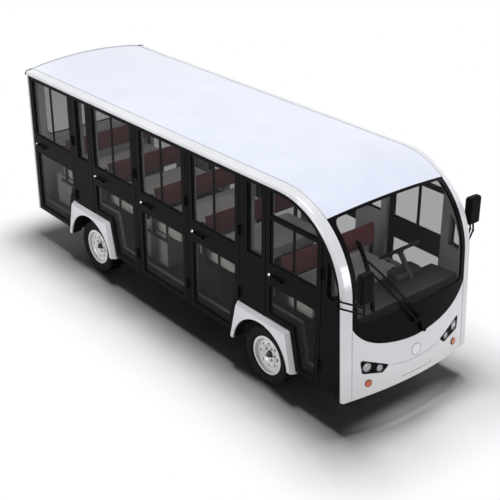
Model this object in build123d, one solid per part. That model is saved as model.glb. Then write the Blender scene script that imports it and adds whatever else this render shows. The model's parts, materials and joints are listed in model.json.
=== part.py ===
from build123d import *
import os
from math import atan, cos, radians, sin, tan

# Enclosed electric sightseeing car: five bench rows, a front-hinged glazed door beside each row on both sides.
# Millimetres. +X forward, +Y to the car's left, +Z up, ground at Z = 0, origin under the middle of the overall box.
# A station is a distance forward of the rear face.

# Overall body
body_length = 4990.0         # rear face to the front of the nose at the middle
mirror_reach = 170.0         # front of the right mirror ahead of the nose
body_width = 1500.0          # over the white side bands
roof_edge_z = 1925.0         # roof skin at its joint with the side bands, at the rear
roof_slope = 0.65            # degrees, rise of the roof towards the front
front_tilt = 3.0             # degrees, lean of the front back from the nose
front_radius = 780.0         # arc from the roof down into the front
crown = 55.0                 # rise of the roof and bulge of the windscreen at the middle
nose_crown = 100.0           # bulge of the nose at its lower edge
skin = 22.0                  # moulded roof, nose and band wall
joint_y = 660.0              # joint line between the roof skin and a side band
band_depth = 46.0            # side band seen from the side
band_slope = 9.5             # degrees, fall of the band outwards
band_corner = 32.0
skirt_z = 355.0
nose_bottom_z = 330.0
nose_lift = 32.0             # rise of the nose's lower edge at the middle
contact = 0.05               # parting left between a laid-on piece and a curved skin

# Side wall
side_inset = 5.0             # doors and pillars lie this far inside the bands
outer_layer = 43.0           # pillar depth beside the doors
inner_layer = 37.0           # door stops and sill behind the doors
door_thickness = 35.0
door_gap = 6.0
arch_gap = 8.0               # between a door and a wheel arch
stop_overlap = 15.0
sill_height = 110.0
arch_lining = 50.0           # lining seen through the glass beside a wheel arch
door_top_rail = 26.0
stile = 55.0
belt_low_z = 1040.0
belt_high_z = 1240.0
lower_glass_z = 405.0
mullion = 13.0               # slim bar between the sliding panes
mullion_depth = 14.0
glass = 6.0
pane_corner = 16.0
front_bar_z = 1660.0         # cross bar of the front door's window
front_bar = 36.0

# Doors from front to rear: name, rear edge station, front edge station, height of the lower hinge
door_rows = [
    ("front", 3900.0, 4575.0, 560.0),
    ("second", 2835.0, 3550.0, 800.0),
    ("third", 2025.0, 2790.0, 560.0),
    ("fourth", 1215.0, 1980.0, 560.0),
    ("rear", 60.0, 870.0, 800.0),
]
# Narrow fixed windows over the wheels: rear station, front station
narrow_windows = [(3660.0, 3845.0), (960.0, 1145.0)]
# Corner window ahead of the front door: station, height
corner_window = [(4645.0, 1230.0), (4772.0, 1205.0), (4760.0, 1330.0), (4712.0, 1450.0), (4645.0, 1545.0)]
corner_pane_corner = 10.0

# Hinges and handles
upper_hinge_z = 1400.0
hinge_offset = 11.0          # pin centre outside the door's face
hinge_radius = 10.0
pin_radius = 5.5
hinge_clearance = 0.3
hinge_play = 0.5             # between the door's barrel and the post's knuckles
barrel_length = 44.0
knuckle_length = 24.0
hinge_leaf = 5.0
hinge_reach = 32.0
handle_z = 1130.0
handle_length = 150.0
handle_inset = 75.0
handle_height = 24.0
handle_stand = 30.0
handle_grip = 14.0
handle_foot = 22.0

# Wheels and arches
rear_axle_station = 1140.0
wheelbase = 2730.0
tyre_radius = 281.0
tyre_width = 165.0
rim_radius = 166.0
rim_flange = 16.0
rim_wall = 6.0
rim_drop = 16.0              # drop of the rim's well
rim_inset = 22.0             # bead seat inside the tyre's face
wheel_y = 630.0              # middle of the tyre
hub_radius = 45.0
hub_depth = 42.0
stub_radius = 22.0
stub_reach = 40.0            # stub past the middle of the tyre
running_clearance = 0.3
vent_holes = 8
vent_radius = 11.0
vent_circle = 109.0
arch_radius = 365.0
arch_bottom_half = 430.0
arch_top_half = 345.0
arch_top_z = 705.0
arch_bottom_z = 325.0
arch_corner = 22.0
arch_stand = 40.0            # how far the flare stands out of the side
arch_taper = 34.0
housing_half = 368.0
housing_top_z = 655.0
housing_inner_y = 372.0
housing_wall = 4.0
housing_gap = 3.0            # between a wheel housing and the bench bases
steer_arm = 130.0
king_y = 500.0
king_radius = 14.0
king_height = 150.0
king_eye = 24.0              # radius and height of the axle's king pin eyes
link_drop = 66.0             # steering link under the wheel centre
link_inset = 12.0
link_radius = 11.0
link_eye = 18.0

# Chassis
rail_y = 250.0
rail_width = 50.0
rail_height = 80.0
rail_stations = (90.0, 4730.0)
floor_z = 430.0              # top of the floor
floor_thickness = 20.0
floor_front_gap = 60.0
axle_radius = 32.0
spring_y = 330.0
spring_width = 50.0
spring_thickness = 28.0
spring_tip = 16.0
spring_half = 420.0
spring_rise = 42.0
spring_pad = 50.0            # half length of the pad over the axle
hanger = 24.0
cross_stations = (140.0, 760.0, 1540.0, 2300.0, 2900.0, 3420.0, 4330.0, 4700.0)
cross_width = 60.0
cross_height = 50.0
tow_eye_radius = 14.0
tow_eye_z = 300.0
tow_margin = 30.0            # plate under the eye
tow_plate = 40.0             # half length of a tow plate
tow_thickness = 16.0
motor_radius = 95.0
motor_stations = (60.0, 330.0)   # ahead of the rear axle
fin_pitch = 32.0
fin_count = 6
fin_first = 130.0
fin_width = 10.0
fin_height = 9.0
differential_radius = 112.0
battery_stations = (1620.0, 3340.0)
battery_height = 110.0
battery_gap = 3.0
battery_corner = 20.0

# Nose, windscreen and lamps
screen_top_angle = 54.2      # degrees about the front arc's centre, joint between roof and windscreen surround
screen_side_z = 1814.0       # upper edge of the glass beside the bands
screen_middle_z = 1852.0     # and at the middle
screen_low_z = 1003.0
screen_half = 612.0
screen_corner = 60.0
# Upper edge of the nose from the middle outwards: y, z
smile_edge = [(0.0, 729.0), (250.0, 752.0), (490.0, 824.0), (600.0, 905.0), (joint_y, 985.0)]
crease_half = 300.0          # groove between the headlamps
crease_z = 527.0
crease_rise = 34.0
crease_width = 10.0
crease_depth = 4.0
plate_half = 190.0           # shallow recess for a blank plate
plate_low_z = 408.0
plate_high_z = 446.0
plate_taper = 18.0
plate_corner = 12.0
plate_depth = 5.0
# Right headlamp seen from the front: y, z, corner radius
lamp_corners = [(-590.0, 690.0, 20.0), (-300.0, 566.0, 12.0), (-372.0, 512.0, 22.0), (-570.0, 556.0, 28.0)]
# Its lenses: y, z, radius
lamp_lenses = [(-521.0, 606.0, 40.0), (-398.0, 562.0, 31.0)]
lamp_depth = 45.0
lamp_set = 4.0               # housing under the nose's skin
lens_set = 2.0
lens_depth = 25.0
turn_y = 513.0
turn_z = 457.0
turn_radius = 30.0
turn_stand = 10.0

# Rear panel
return_depth = 54.0
rear_corner = 40.0
rear_wall = 30.0
rear_inner_corner = 12.0
rear_window_half = 560.0
rear_window_low = 1160.0
rear_window_high = 1780.0
rear_window_corner = 60.0
tail_y = 640.0
tail_low = 760.0
tail_high = 1000.0
tail_width = 110.0
tail_depth = 14.0
tail_corner = 24.0

# Seats: station of each row's back pad, front to rear
seat_rows = (3880.0, 2840.0, 2030.0, 1220.0, 400.0)
seat_half = 560.0            # half a bench between its end brackets
base_ahead = 185.0           # base ahead of the row's station
base_behind = 250.0
cushion_ahead = 405.0
cushion_behind = 135.0
cushion_inset = 4.0
cushion_low_z = 765.0
cushion_height = 120.0
cushion_corner = 28.0
bracket_thickness = 8.0      # steel bracket on each end of a bench, which carries the back pad
bracket_low_z = 700.0
bracket_height = 36.0
bracket_ahead = 195.0
bracket_behind = 140.0
bracket_corner = 12.0
post_behind = 55.0
post_width = 50.0
post_top_z = 1140.0
pad_low_z = 990.0
pad_high_z = 1205.0
pad_thickness = 45.0
pad_behind = 20.0            # rear of the pad's foot behind the row's station
pad_lean = 5.0
pad_corner = 16.0

# Cockpit
dash_rear = 4430.0
dash_top_z = 985.0
dash_front_rise = 20.0
dash_low_z = 700.0
dash_brow = 90.0             # rounded edge towards the driver
dash_wall = 25.0
dash_gap = 12.0              # to the nose's inner face
dash_corner = 40.0
pod_size = (150.0, 300.0, 130.0)
pod_corner = 30.0
wheel_station = 4400.0
wheel_side = 330.0
wheel_z = 1190.0
wheel_tilt = 38.0            # degrees of the column from the vertical
hand_wheel_radius = 190.0
hand_wheel_rim = 14.0
rim_sides = 12
boss_radius = 38.0
boss_height = 26.0
spoke_width = 26.0
spoke_thickness = 10.0
spoke_angles = (90, 210, 330)
column_radius = 24.0
column_length = 330.0
shaft_radius = 10.0
shaft_tip = 6.0              # shaft end under the wheel's middle

# Mirrors and wiper
mirror_y = 820.0
mirror_width = 136.0
mirror_height = 250.0
mirror_depth = 70.0
mirror_corner = 22.0
mirror_arm_radius = 8.0
right_mirror_z = 1530.0
left_mirror_back = 236.0     # left mirror behind the front of the nose
left_mirror_z = 1554.0
mirror_foot_back = 228.0     # mirror feet behind the front of the nose
mirror_foot_z = 1215.0
mirror_foot_half = 60.0
mirror_foot_depth = 18.0
bracket_drop = 110.0         # right mirror's bracket under its head
arm_pitch = 60.0
elbow_drop = 60.0
elbow_radius = 11.0          # ball where each left arm bends
# Wiper parts seen from the front: line of (y, z), width, lowest and highest layer over the skin
wiper_parts = [
    ([(70.0, 770.0), (40.0, 890.0)], 46.0, contact, 34.0),
    ([(40.0, 885.0), (-490.0, 1520.0)], 15.0, 24.0, 36.0),
    ([(20.0, 885.0), (-40.0, 880.0)], 34.0, contact, 34.0),
    ([(-24.0, 885.0), (-532.0, 1490.0)], 15.0, 24.0, 36.0),
    ([(-478.0, 1110.0), (-516.0, 1660.0)], 24.0, 4.0, 27.0),
]

# Derived places
overall_length = body_length + mirror_reach
x_rear = -overall_length / 2
front_x = x_rear + body_length
edge_x = front_x - nose_crown            # front line of the body at the foot of the bands
slope = radians(roof_slope)
tilt = radians(front_tilt)
roof_along = Vector(cos(slope), 0, sin(slope))
roof_out = Vector(-sin(slope), 0, cos(slope))
front_down = Vector(sin(tilt), 0, -cos(tilt))
front_out = Vector(cos(tilt), 0, sin(tilt))
half_width = body_width / 2
side_y = half_width - side_inset         # outer face of doors and pillars
stop_y = side_y - outer_layer
lining_y = stop_y - inner_layer
door_head = band_depth + 2 * door_gap    # a door's top edge inside the profile line
rail_top_z = floor_z - floor_thickness
band_bottom_z = roof_edge_z - band_depth
rear_axle_x = x_rear + rear_axle_station
front_axle_x = rear_axle_x + wheelbase
hand_wheel_x = x_rear + wheel_station
link_x = front_axle_x - steer_arm + link_inset
link_z = tyre_radius - link_drop
arch_slant = atan((arch_bottom_half - arch_top_half) / (arch_top_z - arch_bottom_z))
cut_far = 3000.0                         # reach of cutting solids


def at(station):
    return x_rear + station


def block(x0, x1, y0, y1, z0, z1):
    return Pos((x0 + x1) / 2, (y0 + y1) / 2, (z0 + z1) / 2) * Box(abs(x1 - x0), abs(y1 - y0), abs(z1 - z0))


def rod(start, end, radius):
    axis = Vector(*end) - Vector(*start)
    return extrude(Plane(origin=start, z_dir=axis) * Circle(radius), axis.length)


def outline(corners):
    # Flat face through corners given as (u, v, corner radius)
    face = make_face(Polyline(*[(u, v) for u, v, r in corners], close=True))
    for u, v, r in corners:
        if r:
            face = fillet(face.vertices().sort_by_distance((u, v, 0))[0], r)
    return face


def rectangle(u0, u1, v0, v1, corner=0.0):
    return outline([(u0, v0, corner), (u1, v0, corner), (u1, v1, corner), (u0, v1, corner)])


def right_slab(face, y_inner, y_outer):
    # Side outline (x, z) given depth on the car's right side
    side = Plane(origin=(0, -y_inner, 0), x_dir=(1, 0, 0), z_dir=(0, -1, 0))
    return extrude(side * face, y_outer - y_inner)


def front_slab(face, x0, x1):
    # Front outline (y, z) given depth along the car
    front = Plane(origin=(x0, 0, 0), x_dir=(0, 1, 0), z_dir=(1, 0, 0))
    return extrude(front * face, x1 - x0)


def left(shape):
    return mirror(shape, about=Plane.XZ)


def group(shapes):
    return Compound(children=[solid for shape in shapes for solid in shape.solids()])


def both_sides(*shapes):
    return group([copy for shape in shapes for copy in (shape, left(shape))])


# Side profile of the body

def arc_centre():
    # Centre of the arc that touches the roof line and the front line
    roof_reach = roof_out.dot(Vector(x_rear, 0, roof_edge_z)) - front_radius
    front_reach = front_out.dot(Vector(edge_x, 0, nose_bottom_z)) - front_radius
    turn = cos(slope - tilt)
    x = (front_reach * cos(slope) - roof_reach * sin(tilt)) / turn
    z = (front_reach * sin(slope) + roof_reach * cos(tilt)) / turn
    return Vector(x, 0, z)


arc = arc_centre()


def arc_points(radius):
    # Ends and middle of the arc, from the roof to the front
    middle = (radians(90) + slope + tilt) / 2
    return [arc + roof_out * radius, arc + Vector(cos(middle), 0, sin(middle)) * radius, arc + front_out * radius]


def front_line_x(z, inset=0.0):
    end = arc_points(front_radius - inset)[2]
    return end.X + (end.Z - z) * tan(tilt)


def profile_face(inset, x_start, z_bottom):
    # Side view of the body inside its profile line, moved in by an inset
    top, middle, end = [(p.X, p.Z) for p in arc_points(front_radius - inset)]
    foot = (front_line_x(z_bottom, inset), z_bottom)
    back = (x_start, z_bottom)
    head = (x_start, top[1] - (top[0] - x_start) * tan(slope))
    return make_face([Line(back, foot), Line(foot, end), ThreePointArc(end, middle, top), Line(top, head),
                      Line(head, back)])


def along_profile(section, z_end):
    # Section swept from the rear edge of the roof over the front arc, down the front line to a height
    top, middle, end = arc_points(front_radius)
    start = Vector(x_rear, 0, roof_edge_z) - roof_along * skin
    foot = Vector(front_line_x(z_end), 0, z_end)
    path = Wire([Line(start, top), ThreePointArc(top, middle, end), Line(end, foot)])
    behind = block(x_rear - 2 * skin, x_rear, -half_width, half_width, 0, cut_far)
    return sweep(Plane(origin=start, x_dir=(0, 1, 0), z_dir=roof_along) * section, path=path) - behind


def crowned_section(top, bottom, bulge):
    # Section of the crowned shell between two depths under its outer surface
    upper = ThreePointArc((-joint_y, -top), (0, bulge - top), (joint_y, -top))
    lower = ThreePointArc((joint_y, -bottom), (0, bulge - bottom), (-joint_y, -bottom))
    return make_face([upper, Line((joint_y, -top), (joint_y, -bottom)), lower,
                      Line((-joint_y, -bottom), (-joint_y, -top))])


def nose_layer(top, bottom):
    # Layer of the shell from the windscreen's foot down, growing fuller to the nose's lower edge
    sections = []
    for z, bulge in ((screen_low_z, crown), (nose_bottom_z, nose_crown)):
        place = Plane(origin=(front_line_x(z), 0, z), x_dir=(0, 1, 0), z_dir=front_down)
        sections.append(place * crowned_section(top, bottom, bulge))
    return loft(sections, ruled=True)


def screen_layer(top, bottom):
    return along_profile(crowned_section(top, bottom, crown), screen_low_z)


def band_inner_corners():
    inner_y = half_width - skin
    fall = (inner_y - joint_y) * tan(radians(band_slope))
    return [(-inner_y, -band_depth, 0), (-inner_y, -skin - fall, band_corner - skin), (-joint_y, -skin, 0)]


def band_section():
    fall = (half_width - joint_y) * tan(radians(band_slope))
    outer = [(-joint_y, 0, 0), (-half_width, -fall, band_corner), (-half_width, -band_depth, 0)]
    return outline(outer + band_inner_corners())


# Roof, bands, nose and windscreen

def front_cut(face):
    # Front outline (y, z) as a cutting solid through the whole front
    return front_slab(face, arc.X, front_x + cut_far / 10)


def front_bore(y, z, radius):
    return rod((edge_x - lamp_depth - nose_crown, y, z), (front_x + nose_crown, y, z), radius)


def under_roof():
    # Everything ahead of the joint between roof and windscreen surround
    angle = radians(screen_top_angle)
    tip = (arc.X + cut_far * cos(angle), arc.Z + cut_far * sin(angle))
    face = make_face(Polyline((arc.X, 0), (arc.X + cut_far, 0), (arc.X + cut_far, tip[1]), tip, (arc.X, arc.Z),
                              close=True))
    return extrude(Plane.XZ * face, half_width, both=True)


def smile_zone():
    edge = [(-y, z) for y, z in reversed(smile_edge[1:])] + smile_edge
    last = smile_edge[-1]
    return front_cut(make_face([Spline(*edge), Polyline(last, (joint_y, 0), (-joint_y, 0), (-last[0], last[1]))]))


def screen_zone():
    high = ThreePointArc((-screen_half, screen_side_z), (0, screen_middle_z), (screen_half, screen_side_z))
    rest = Polyline((screen_half, screen_side_z), (screen_half, screen_low_z), (-screen_half, screen_low_z),
                    (-screen_half, screen_side_z))
    face = make_face([high, rest])
    return front_cut(fillet(face.vertices(), screen_corner))


def nose_features():
    # Raised lower edge, groove between the headlamps and plate recess
    low = (joint_y, nose_bottom_z)
    lift = make_face([ThreePointArc((-low[0], low[1]), (0, low[1] + nose_lift), low),
                      Polyline(low, (joint_y, 0), (-joint_y, 0), (-low[0], low[1]))])
    ends = crease_z + crease_rise
    half = crease_width / 2
    crease = make_face([ThreePointArc((-crease_half, ends), (0, crease_z + half), (crease_half, ends)),
                        ThreePointArc((crease_half, ends), (0, crease_z - half), (-crease_half, ends))])
    inner = plate_half - plate_taper
    plate = outline([(-plate_half, plate_low_z, plate_corner), (plate_half, plate_low_z, plate_corner),
                     (inner, plate_high_z, plate_corner), (-inner, plate_high_z, plate_corner)])
    groove = nose_layer(-skin, crease_depth) & front_cut(crease)
    recess = nose_layer(-skin, plate_depth) & front_cut(plate)
    return [front_cut(lift), groove, recess]


def body_skins():
    upper = screen_layer(0, skin)
    lower = nose_layer(0, skin)
    under = under_roof()
    smile = smile_zone()
    opening = screen_zone()
    roof = upper - under
    nose = lower & smile
    for feature in nose_features():
        nose = nose - feature
    surround = (upper & under) - opening + (lower - smile - opening)
    screen = screen_layer(glass, 2 * glass) & opening
    return roof, nose, surround, screen


def front_lamps(nose):
    # Headlamp housings fill openings in the nose; lenses and turn lamps sit in them
    zone = front_cut(outline(lamp_corners))
    housing = nose_layer(lamp_set, lamp_depth) & zone
    beds = nose_layer(-skin, lens_depth)
    lens_skin = nose_layer(lens_set, lens_depth)
    lenses = []
    for y, z, radius in lamp_lenses:
        bore = front_bore(y, z, radius)
        lenses.append(lens_skin & bore)
        housing = housing - (beds & bore)
    turn_bore = front_bore(-turn_y, turn_z, turn_radius)
    turn = nose_layer(-turn_stand, skin) & turn_bore
    nose = nose - zone - left(zone) - turn_bore - left(turn_bore)
    return nose, housing, lenses, turn


def rear_panel():
    wall_y = half_width - rear_wall
    wall_x = at(rear_wall)
    end_x = at(return_depth)
    plan = outline([(x_rear, -half_width, rear_corner), (x_rear, half_width, rear_corner), (end_x, half_width, 0),
                    (end_x, wall_y, 0), (wall_x, wall_y, rear_inner_corner), (wall_x, -wall_y, rear_inner_corner),
                    (end_x, -wall_y, 0), (end_x, -half_width, 0)])
    shell = extrude(Plane.XY.offset(skirt_z) * plan, band_bottom_z - skirt_z)
    corners = [(y, roof_edge_z + n, r) for y, n, r in band_inner_corners()]
    right_edge = [(y, z) for y, z, r in corners]
    left_edge = [(-y, z) for y, z in right_edge]
    low, high = right_edge[-1], left_edge[-1]
    top = ThreePointArc(low, (0, roof_edge_z + crown - skin), high)
    cap_face = make_face([top, Polyline(*right_edge), Polyline(*left_edge), Line(right_edge[0], left_edge[0])])
    for side in (right_edge[1], left_edge[1]):
        cap_face = fillet(cap_face.vertices().sort_by_distance((*side, 0))[0], corners[1][2])
    cap = front_slab(cap_face, x_rear, wall_x)
    pane_face = rectangle(-rear_window_half, rear_window_half, rear_window_low, rear_window_high, rear_window_corner)
    opening = front_slab(pane_face, x_rear - skin, at(2 * return_depth))
    pane = front_slab(pane_face, at(rear_wall / 2 - glass / 2), at(rear_wall / 2 + glass / 2))
    half = tail_width / 2
    lamp = front_slab(rectangle(-tail_y - half, -tail_y + half, tail_low, tail_high, tail_corner), x_rear,
                      at(tail_depth))
    return shell + cap - opening - lamp - left(lamp), pane, lamp


# Wheel arches and side walls

def arch_face(x, grow=0.0):
    shift = grow / cos(arch_slant)
    low = arch_bottom_half + shift + arch_bottom_z * tan(arch_slant)
    high = arch_top_half + shift - grow * tan(arch_slant)
    top = arch_top_z + grow
    return outline([(x - low, 0, 0), (x + low, 0, 0), (x + high, top, arch_corner), (x - high, top, arch_corner)])


def flare(x):
    face = arch_face(x)
    body = right_slab(face, lining_y, side_y)
    side = Plane(origin=(0, -side_y, 0), x_dir=(1, 0, 0), z_dir=(0, -1, 0))
    lip = extrude(side * face, arch_stand, taper=arch_taper)
    opening = rod((x, 0, tyre_radius), (x, -cut_far, tyre_radius), arch_radius)
    below = block(x - cut_far, x + cut_far, -cut_far, 0, -cut_far, arch_bottom_z)
    return body + lip - opening - below


def door_face(rear, front, grow=0.0):
    face = rectangle(at(rear) - grow, at(front) + grow, skirt_z - max(grow, 0), cut_far)
    return face & profile_face(door_head - grow, x_rear - cut_far, 0)


def without_arches(face, grow):
    for x in (rear_axle_x, front_axle_x):
        face = face - arch_face(x, grow)
    return face


def under_top_rail(face):
    return face & profile_face(door_head + door_top_rail, x_rear - cut_far, 0)


def door_panes(name, rear, front):
    # Panes of a door, two sliding ones over the belt and one under it, and the slim bar between the first two
    u0, u1 = at(rear) + stile, at(front) - stile
    upper = under_top_rail(rectangle(u0, u1, belt_high_z, cut_far))
    a, b = (u0 + u1 - mullion) / 2, (u0 + u1 + mullion) / 2
    top = cut_far
    faces = []
    if name == "front":
        top = front_bar_z - front_bar / 2
        faces.append(upper - rectangle(u0 - stile, u1 + stile, 0, front_bar_z + front_bar / 2))
    for start, end in ((u0, a), (b, u1)):
        faces.append(upper & rectangle(start, end, 0, top))
    lower = rectangle(u0, u1, lower_glass_z, belt_low_z, pane_corner)
    faces.append(without_arches(lower, stile + door_gap))
    bar = upper & rectangle(a, b, 0, top)
    return [face.faces()[0] for face in faces], bar.faces()[0]


def hinge_places(front, hinge_z):
    x = at(front) + door_gap / 2
    y = -(side_y + hinge_offset)
    return [(x, y, z) for z in (hinge_z, upper_hinge_z)]


def door_parts(name, rear, front, hinge_z):
    face = without_arches(door_face(rear, front), arch_gap)
    panes, bar = door_panes(name, rear, front)
    for pane in (*panes, bar):
        face = face - pane
    glass_y = side_y - door_thickness / 2
    frame = right_slab(face, side_y - door_thickness, side_y)
    frame = frame + right_slab(bar, glass_y - mullion_depth / 2, glass_y + mullion_depth / 2)
    glazing = [right_slab(pane, glass_y - glass / 2, glass_y + glass / 2) for pane in panes]
    half = barrel_length / 2
    for x, y, z in hinge_places(front, hinge_z):
        leaf = block(x - hinge_reach, x - hinge_radius / 2, -side_y - hinge_leaf, -side_y, z - half, z + half)
        barrel = rod((x, y, z - half), (x, y, z + half), hinge_radius)
        bore = rod((x, y, z - half), (x, y, z + half), pin_radius + hinge_clearance)
        frame = frame + leaf + barrel - bore
    x0 = at(rear) + handle_inset
    x1 = x0 + handle_length
    out = side_y + handle_stand
    rise = handle_height / 2
    for x in (x0 + handle_foot / 2, x1 - handle_foot / 2):
        foot = handle_foot / 2
        frame = frame + block(x - foot, x + foot, -out, -side_y, handle_z - rise / 2, handle_z + rise / 2)
    grip = rectangle(x0, x1, handle_z - rise, handle_z + rise, rise * 0.9)
    return frame + right_slab(grip, out - handle_grip, out), glazing


def hinge_posts(front, hinge_z):
    # Fixed half of a door's hinges: plate on the pillar, two knuckles and the pin
    posts = []
    half = barrel_length / 2 + hinge_play
    full = half + knuckle_length
    plate_x = hinge_radius + hinge_play
    face_y = -side_y
    for x, y, z in hinge_places(front, hinge_z):
        post = block(x + plate_x, x + hinge_reach, face_y - hinge_leaf, face_y, z - full, z + full)
        post = post + rod((x, y, z - full), (x, y, z + full), pin_radius)
        for low, high in ((z - full, z - half), (z + half, z + full)):
            post = post + rod((x, y, low), (x, y, high), hinge_radius)
            post = post + block(x, x + hinge_reach, face_y - hinge_leaf, face_y - hinge_play, low, high)
        posts.append(post)
    return posts


def fixed_side_faces():
    faces = [under_top_rail(rectangle(at(a), at(b), belt_high_z, cut_far)).faces()[0] for a, b in narrow_windows]
    faces.append(outline([(at(s), z, corner_pane_corner) for s, z in corner_window]))
    return faces


def side_frame():
    whole = profile_face(band_depth, at(return_depth), skirt_z)
    outer, inner = whole, whole
    for name, rear, front, hinge_z in door_rows:
        outer = outer - door_face(rear, front, door_gap)
        opening = door_face(rear, front, -stop_overlap) & rectangle(at(0), front_x, skirt_z + sill_height, cut_far)
        inner = inner - without_arches(opening, stile + door_gap + arch_lining)
    for face in fixed_side_faces():
        outer = outer - face
        inner = inner - face
    outer = without_arches(outer, 0)
    inner = without_arches(inner, 0)
    return right_slab(outer, stop_y, side_y) + right_slab(inner, lining_y, stop_y)


def fixed_side_panes():
    y = side_y - outer_layer / 2
    return [right_slab(face, y - glass / 2, y + glass / 2) for face in fixed_side_faces()]


# Floor, chassis, axles and wheels

def wheel_places():
    # name, wheel centre x, side sign
    return [(f"{end}_{side}", x, sign) for end, x in (("front", front_axle_x), ("rear", rear_axle_x))
            for side, sign in (("right", -1), ("left", 1))]


def floor_pan():
    front = front_line_x(floor_z, band_depth) - floor_front_gap
    floor = block(at(rear_wall), front, -lining_y, lining_y, rail_top_z, floor_z)
    inner = housing_half - housing_wall
    for name, x, sign in wheel_places():
        y0, y1 = sign * housing_inner_y, sign * lining_y
        floor = floor + block(x - housing_half, x + housing_half, y0, y1, rail_top_z, housing_top_z)
        y0 += sign * housing_wall
        y1 += sign * housing_wall
        floor = floor - block(x - inner, x + inner, y0, y1, 0, housing_top_z - housing_wall)
    return floor


def cross_reach(x):
    # Cross members stop at the rails beside the wheels
    near = any(abs(x - axle_x) < housing_half for axle_x in (front_axle_x, rear_axle_x))
    return rail_y if near else lining_y


def chassis_frame():
    rail_low_z = rail_top_z - rail_height
    inner, outer = rail_y - rail_width / 2, rail_y + rail_width / 2
    rear, front = rail_stations
    frame = block(at(rear), at(front), inner, outer, rail_low_z, rail_top_z)
    frame = frame + block(at(rear), at(front), -outer, -inner, rail_low_z, rail_top_z)
    half = cross_width / 2
    for x in (*[at(s) for s in cross_stations], link_x):
        reach = cross_reach(x)
        frame = frame + block(x - half, x + half, -reach, reach, rail_top_z - cross_height, rail_top_z)
    for name, x, sign in wheel_places():
        for end in (-1, 1):
            start = x + end * spring_half
            far = sign * (spring_y + spring_width / 2)
            frame = frame + block(start, start + end * hanger, sign * inner, far, rail_low_z, rail_top_z)
    for station in (cross_stations[0], cross_stations[-1]):
        x = at(station)
        plate = block(x - tow_plate, x + tow_plate, -tow_thickness / 2, tow_thickness / 2, tow_eye_z - tow_margin,
                      rail_top_z - cross_height / 2)
        frame = frame + (plate - rod((x, -tow_thickness, tow_eye_z), (x, tow_thickness, tow_eye_z), tow_eye_radius))
    return frame


def leaf_spring(x):
    # Leaf pack bowed over the axle, its ends against the hangers
    low = tyre_radius + axle_radius
    end_high = low + spring_rise
    end_low = end_high - spring_tip
    x0, x1 = x - spring_half, x + spring_half
    under = ThreePointArc((x0, end_low), (x, low), (x1, end_low))
    over = ThreePointArc((x1, end_high), (x, low + spring_thickness), (x0, end_high))
    face = make_face([under, Line((x1, end_low), (x1, end_high)), over, Line((x0, end_high), (x0, end_low))])
    inner, outer = spring_y - spring_width / 2, spring_y + spring_width / 2
    pad = rectangle(x - spring_pad, x + spring_pad, tyre_radius + axle_radius / 2, low + spring_thickness / 2)
    beam = rod((x, 0, tyre_radius), (x, -half_width, tyre_radius), axle_radius)
    return right_slab(face, inner, outer) + right_slab(pad, inner, outer) - beam


def rear_axle():
    x, z = rear_axle_x, tyre_radius
    hub_face = wheel_y - tyre_width / 2 - rim_wall * 2
    axle = rod((x, -hub_face, z), (x, hub_face, z), axle_radius)
    axle = axle + rod((x, -wheel_y - stub_reach, z), (x, wheel_y + stub_reach, z), stub_radius)
    axle = axle + Pos(x, 0, z) * Sphere(differential_radius)
    axle = axle + rod((x + motor_stations[0], 0, z), (x + motor_stations[1], 0, z), motor_radius)
    for i in range(fin_count):
        start = x + fin_first + i * fin_pitch
        axle = axle + rod((start, 0, z), (start + fin_width, 0, z), motor_radius + fin_height)
    return axle


def front_axle():
    x, z = front_axle_x, tyre_radius
    half = king_height / 2
    fork = 2 * king_eye          # fork plate inside the king pin
    beam = rod((x, -king_y + fork + rim_wall, z), (x, king_y - fork - rim_wall, z), axle_radius)
    for sign in (-1, 1):
        y = sign * king_y
        plate_y = sign * (king_y - fork)
        far_y = sign * (king_y - fork - king_eye)
        beam = beam + block(x - axle_radius, x + axle_radius, far_y, plate_y, z - half, z + half)
        for low, high in ((z - half, z - half + king_eye), (z + half - king_eye, z + half)):
            beam = beam + block(x - king_eye, x + king_eye, plate_y, y, low, high)
            beam = beam + rod((x, y, low), (x, y, high), king_eye)
            beam = beam - rod((x, y, low), (x, y, high), king_radius + running_clearance)
    return beam


def knuckle(sign):
    x, z = front_axle_x, tyre_radius
    half = king_height / 2
    body_half = half - king_eye - running_clearance
    y = sign * king_y
    body = rod((x, y, z - half), (x, y, z + half), king_radius)
    body = body + rod((x, y, z - body_half), (x, y, z + body_half), king_eye)
    body = body + rod((x, y, z), (x, sign * (wheel_y + stub_reach), z), stub_radius)
    return body + block(x - steer_arm, x, y - king_radius, y + king_radius, link_z + link_eye, link_z + 2 * link_eye)


def tie_rod():
    bar = rod((link_x, -king_y, link_z), (link_x, king_y, link_z), link_radius)
    for sign in (-1, 1):
        y = sign * king_y
        bar = bar + rod((link_x, y, link_z - link_inset), (link_x, y, link_z + link_inset), link_eye)
    return bar


def rack_housing():
    half = rail_y - rail_width * 1.6
    tube = rod((link_x, -half, link_z), (link_x, half, link_z), link_radius + rim_drop)
    for sign in (-1, 1):
        y = sign * (half - rail_width / 2)
        tube = tube + block(link_x - link_eye, link_x + link_eye, y - link_inset, y + link_inset, link_z,
                            rail_top_z - cross_height)
    return tube - rod((link_x, -half, link_z), (link_x, half, link_z), link_radius + running_clearance)


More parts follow.
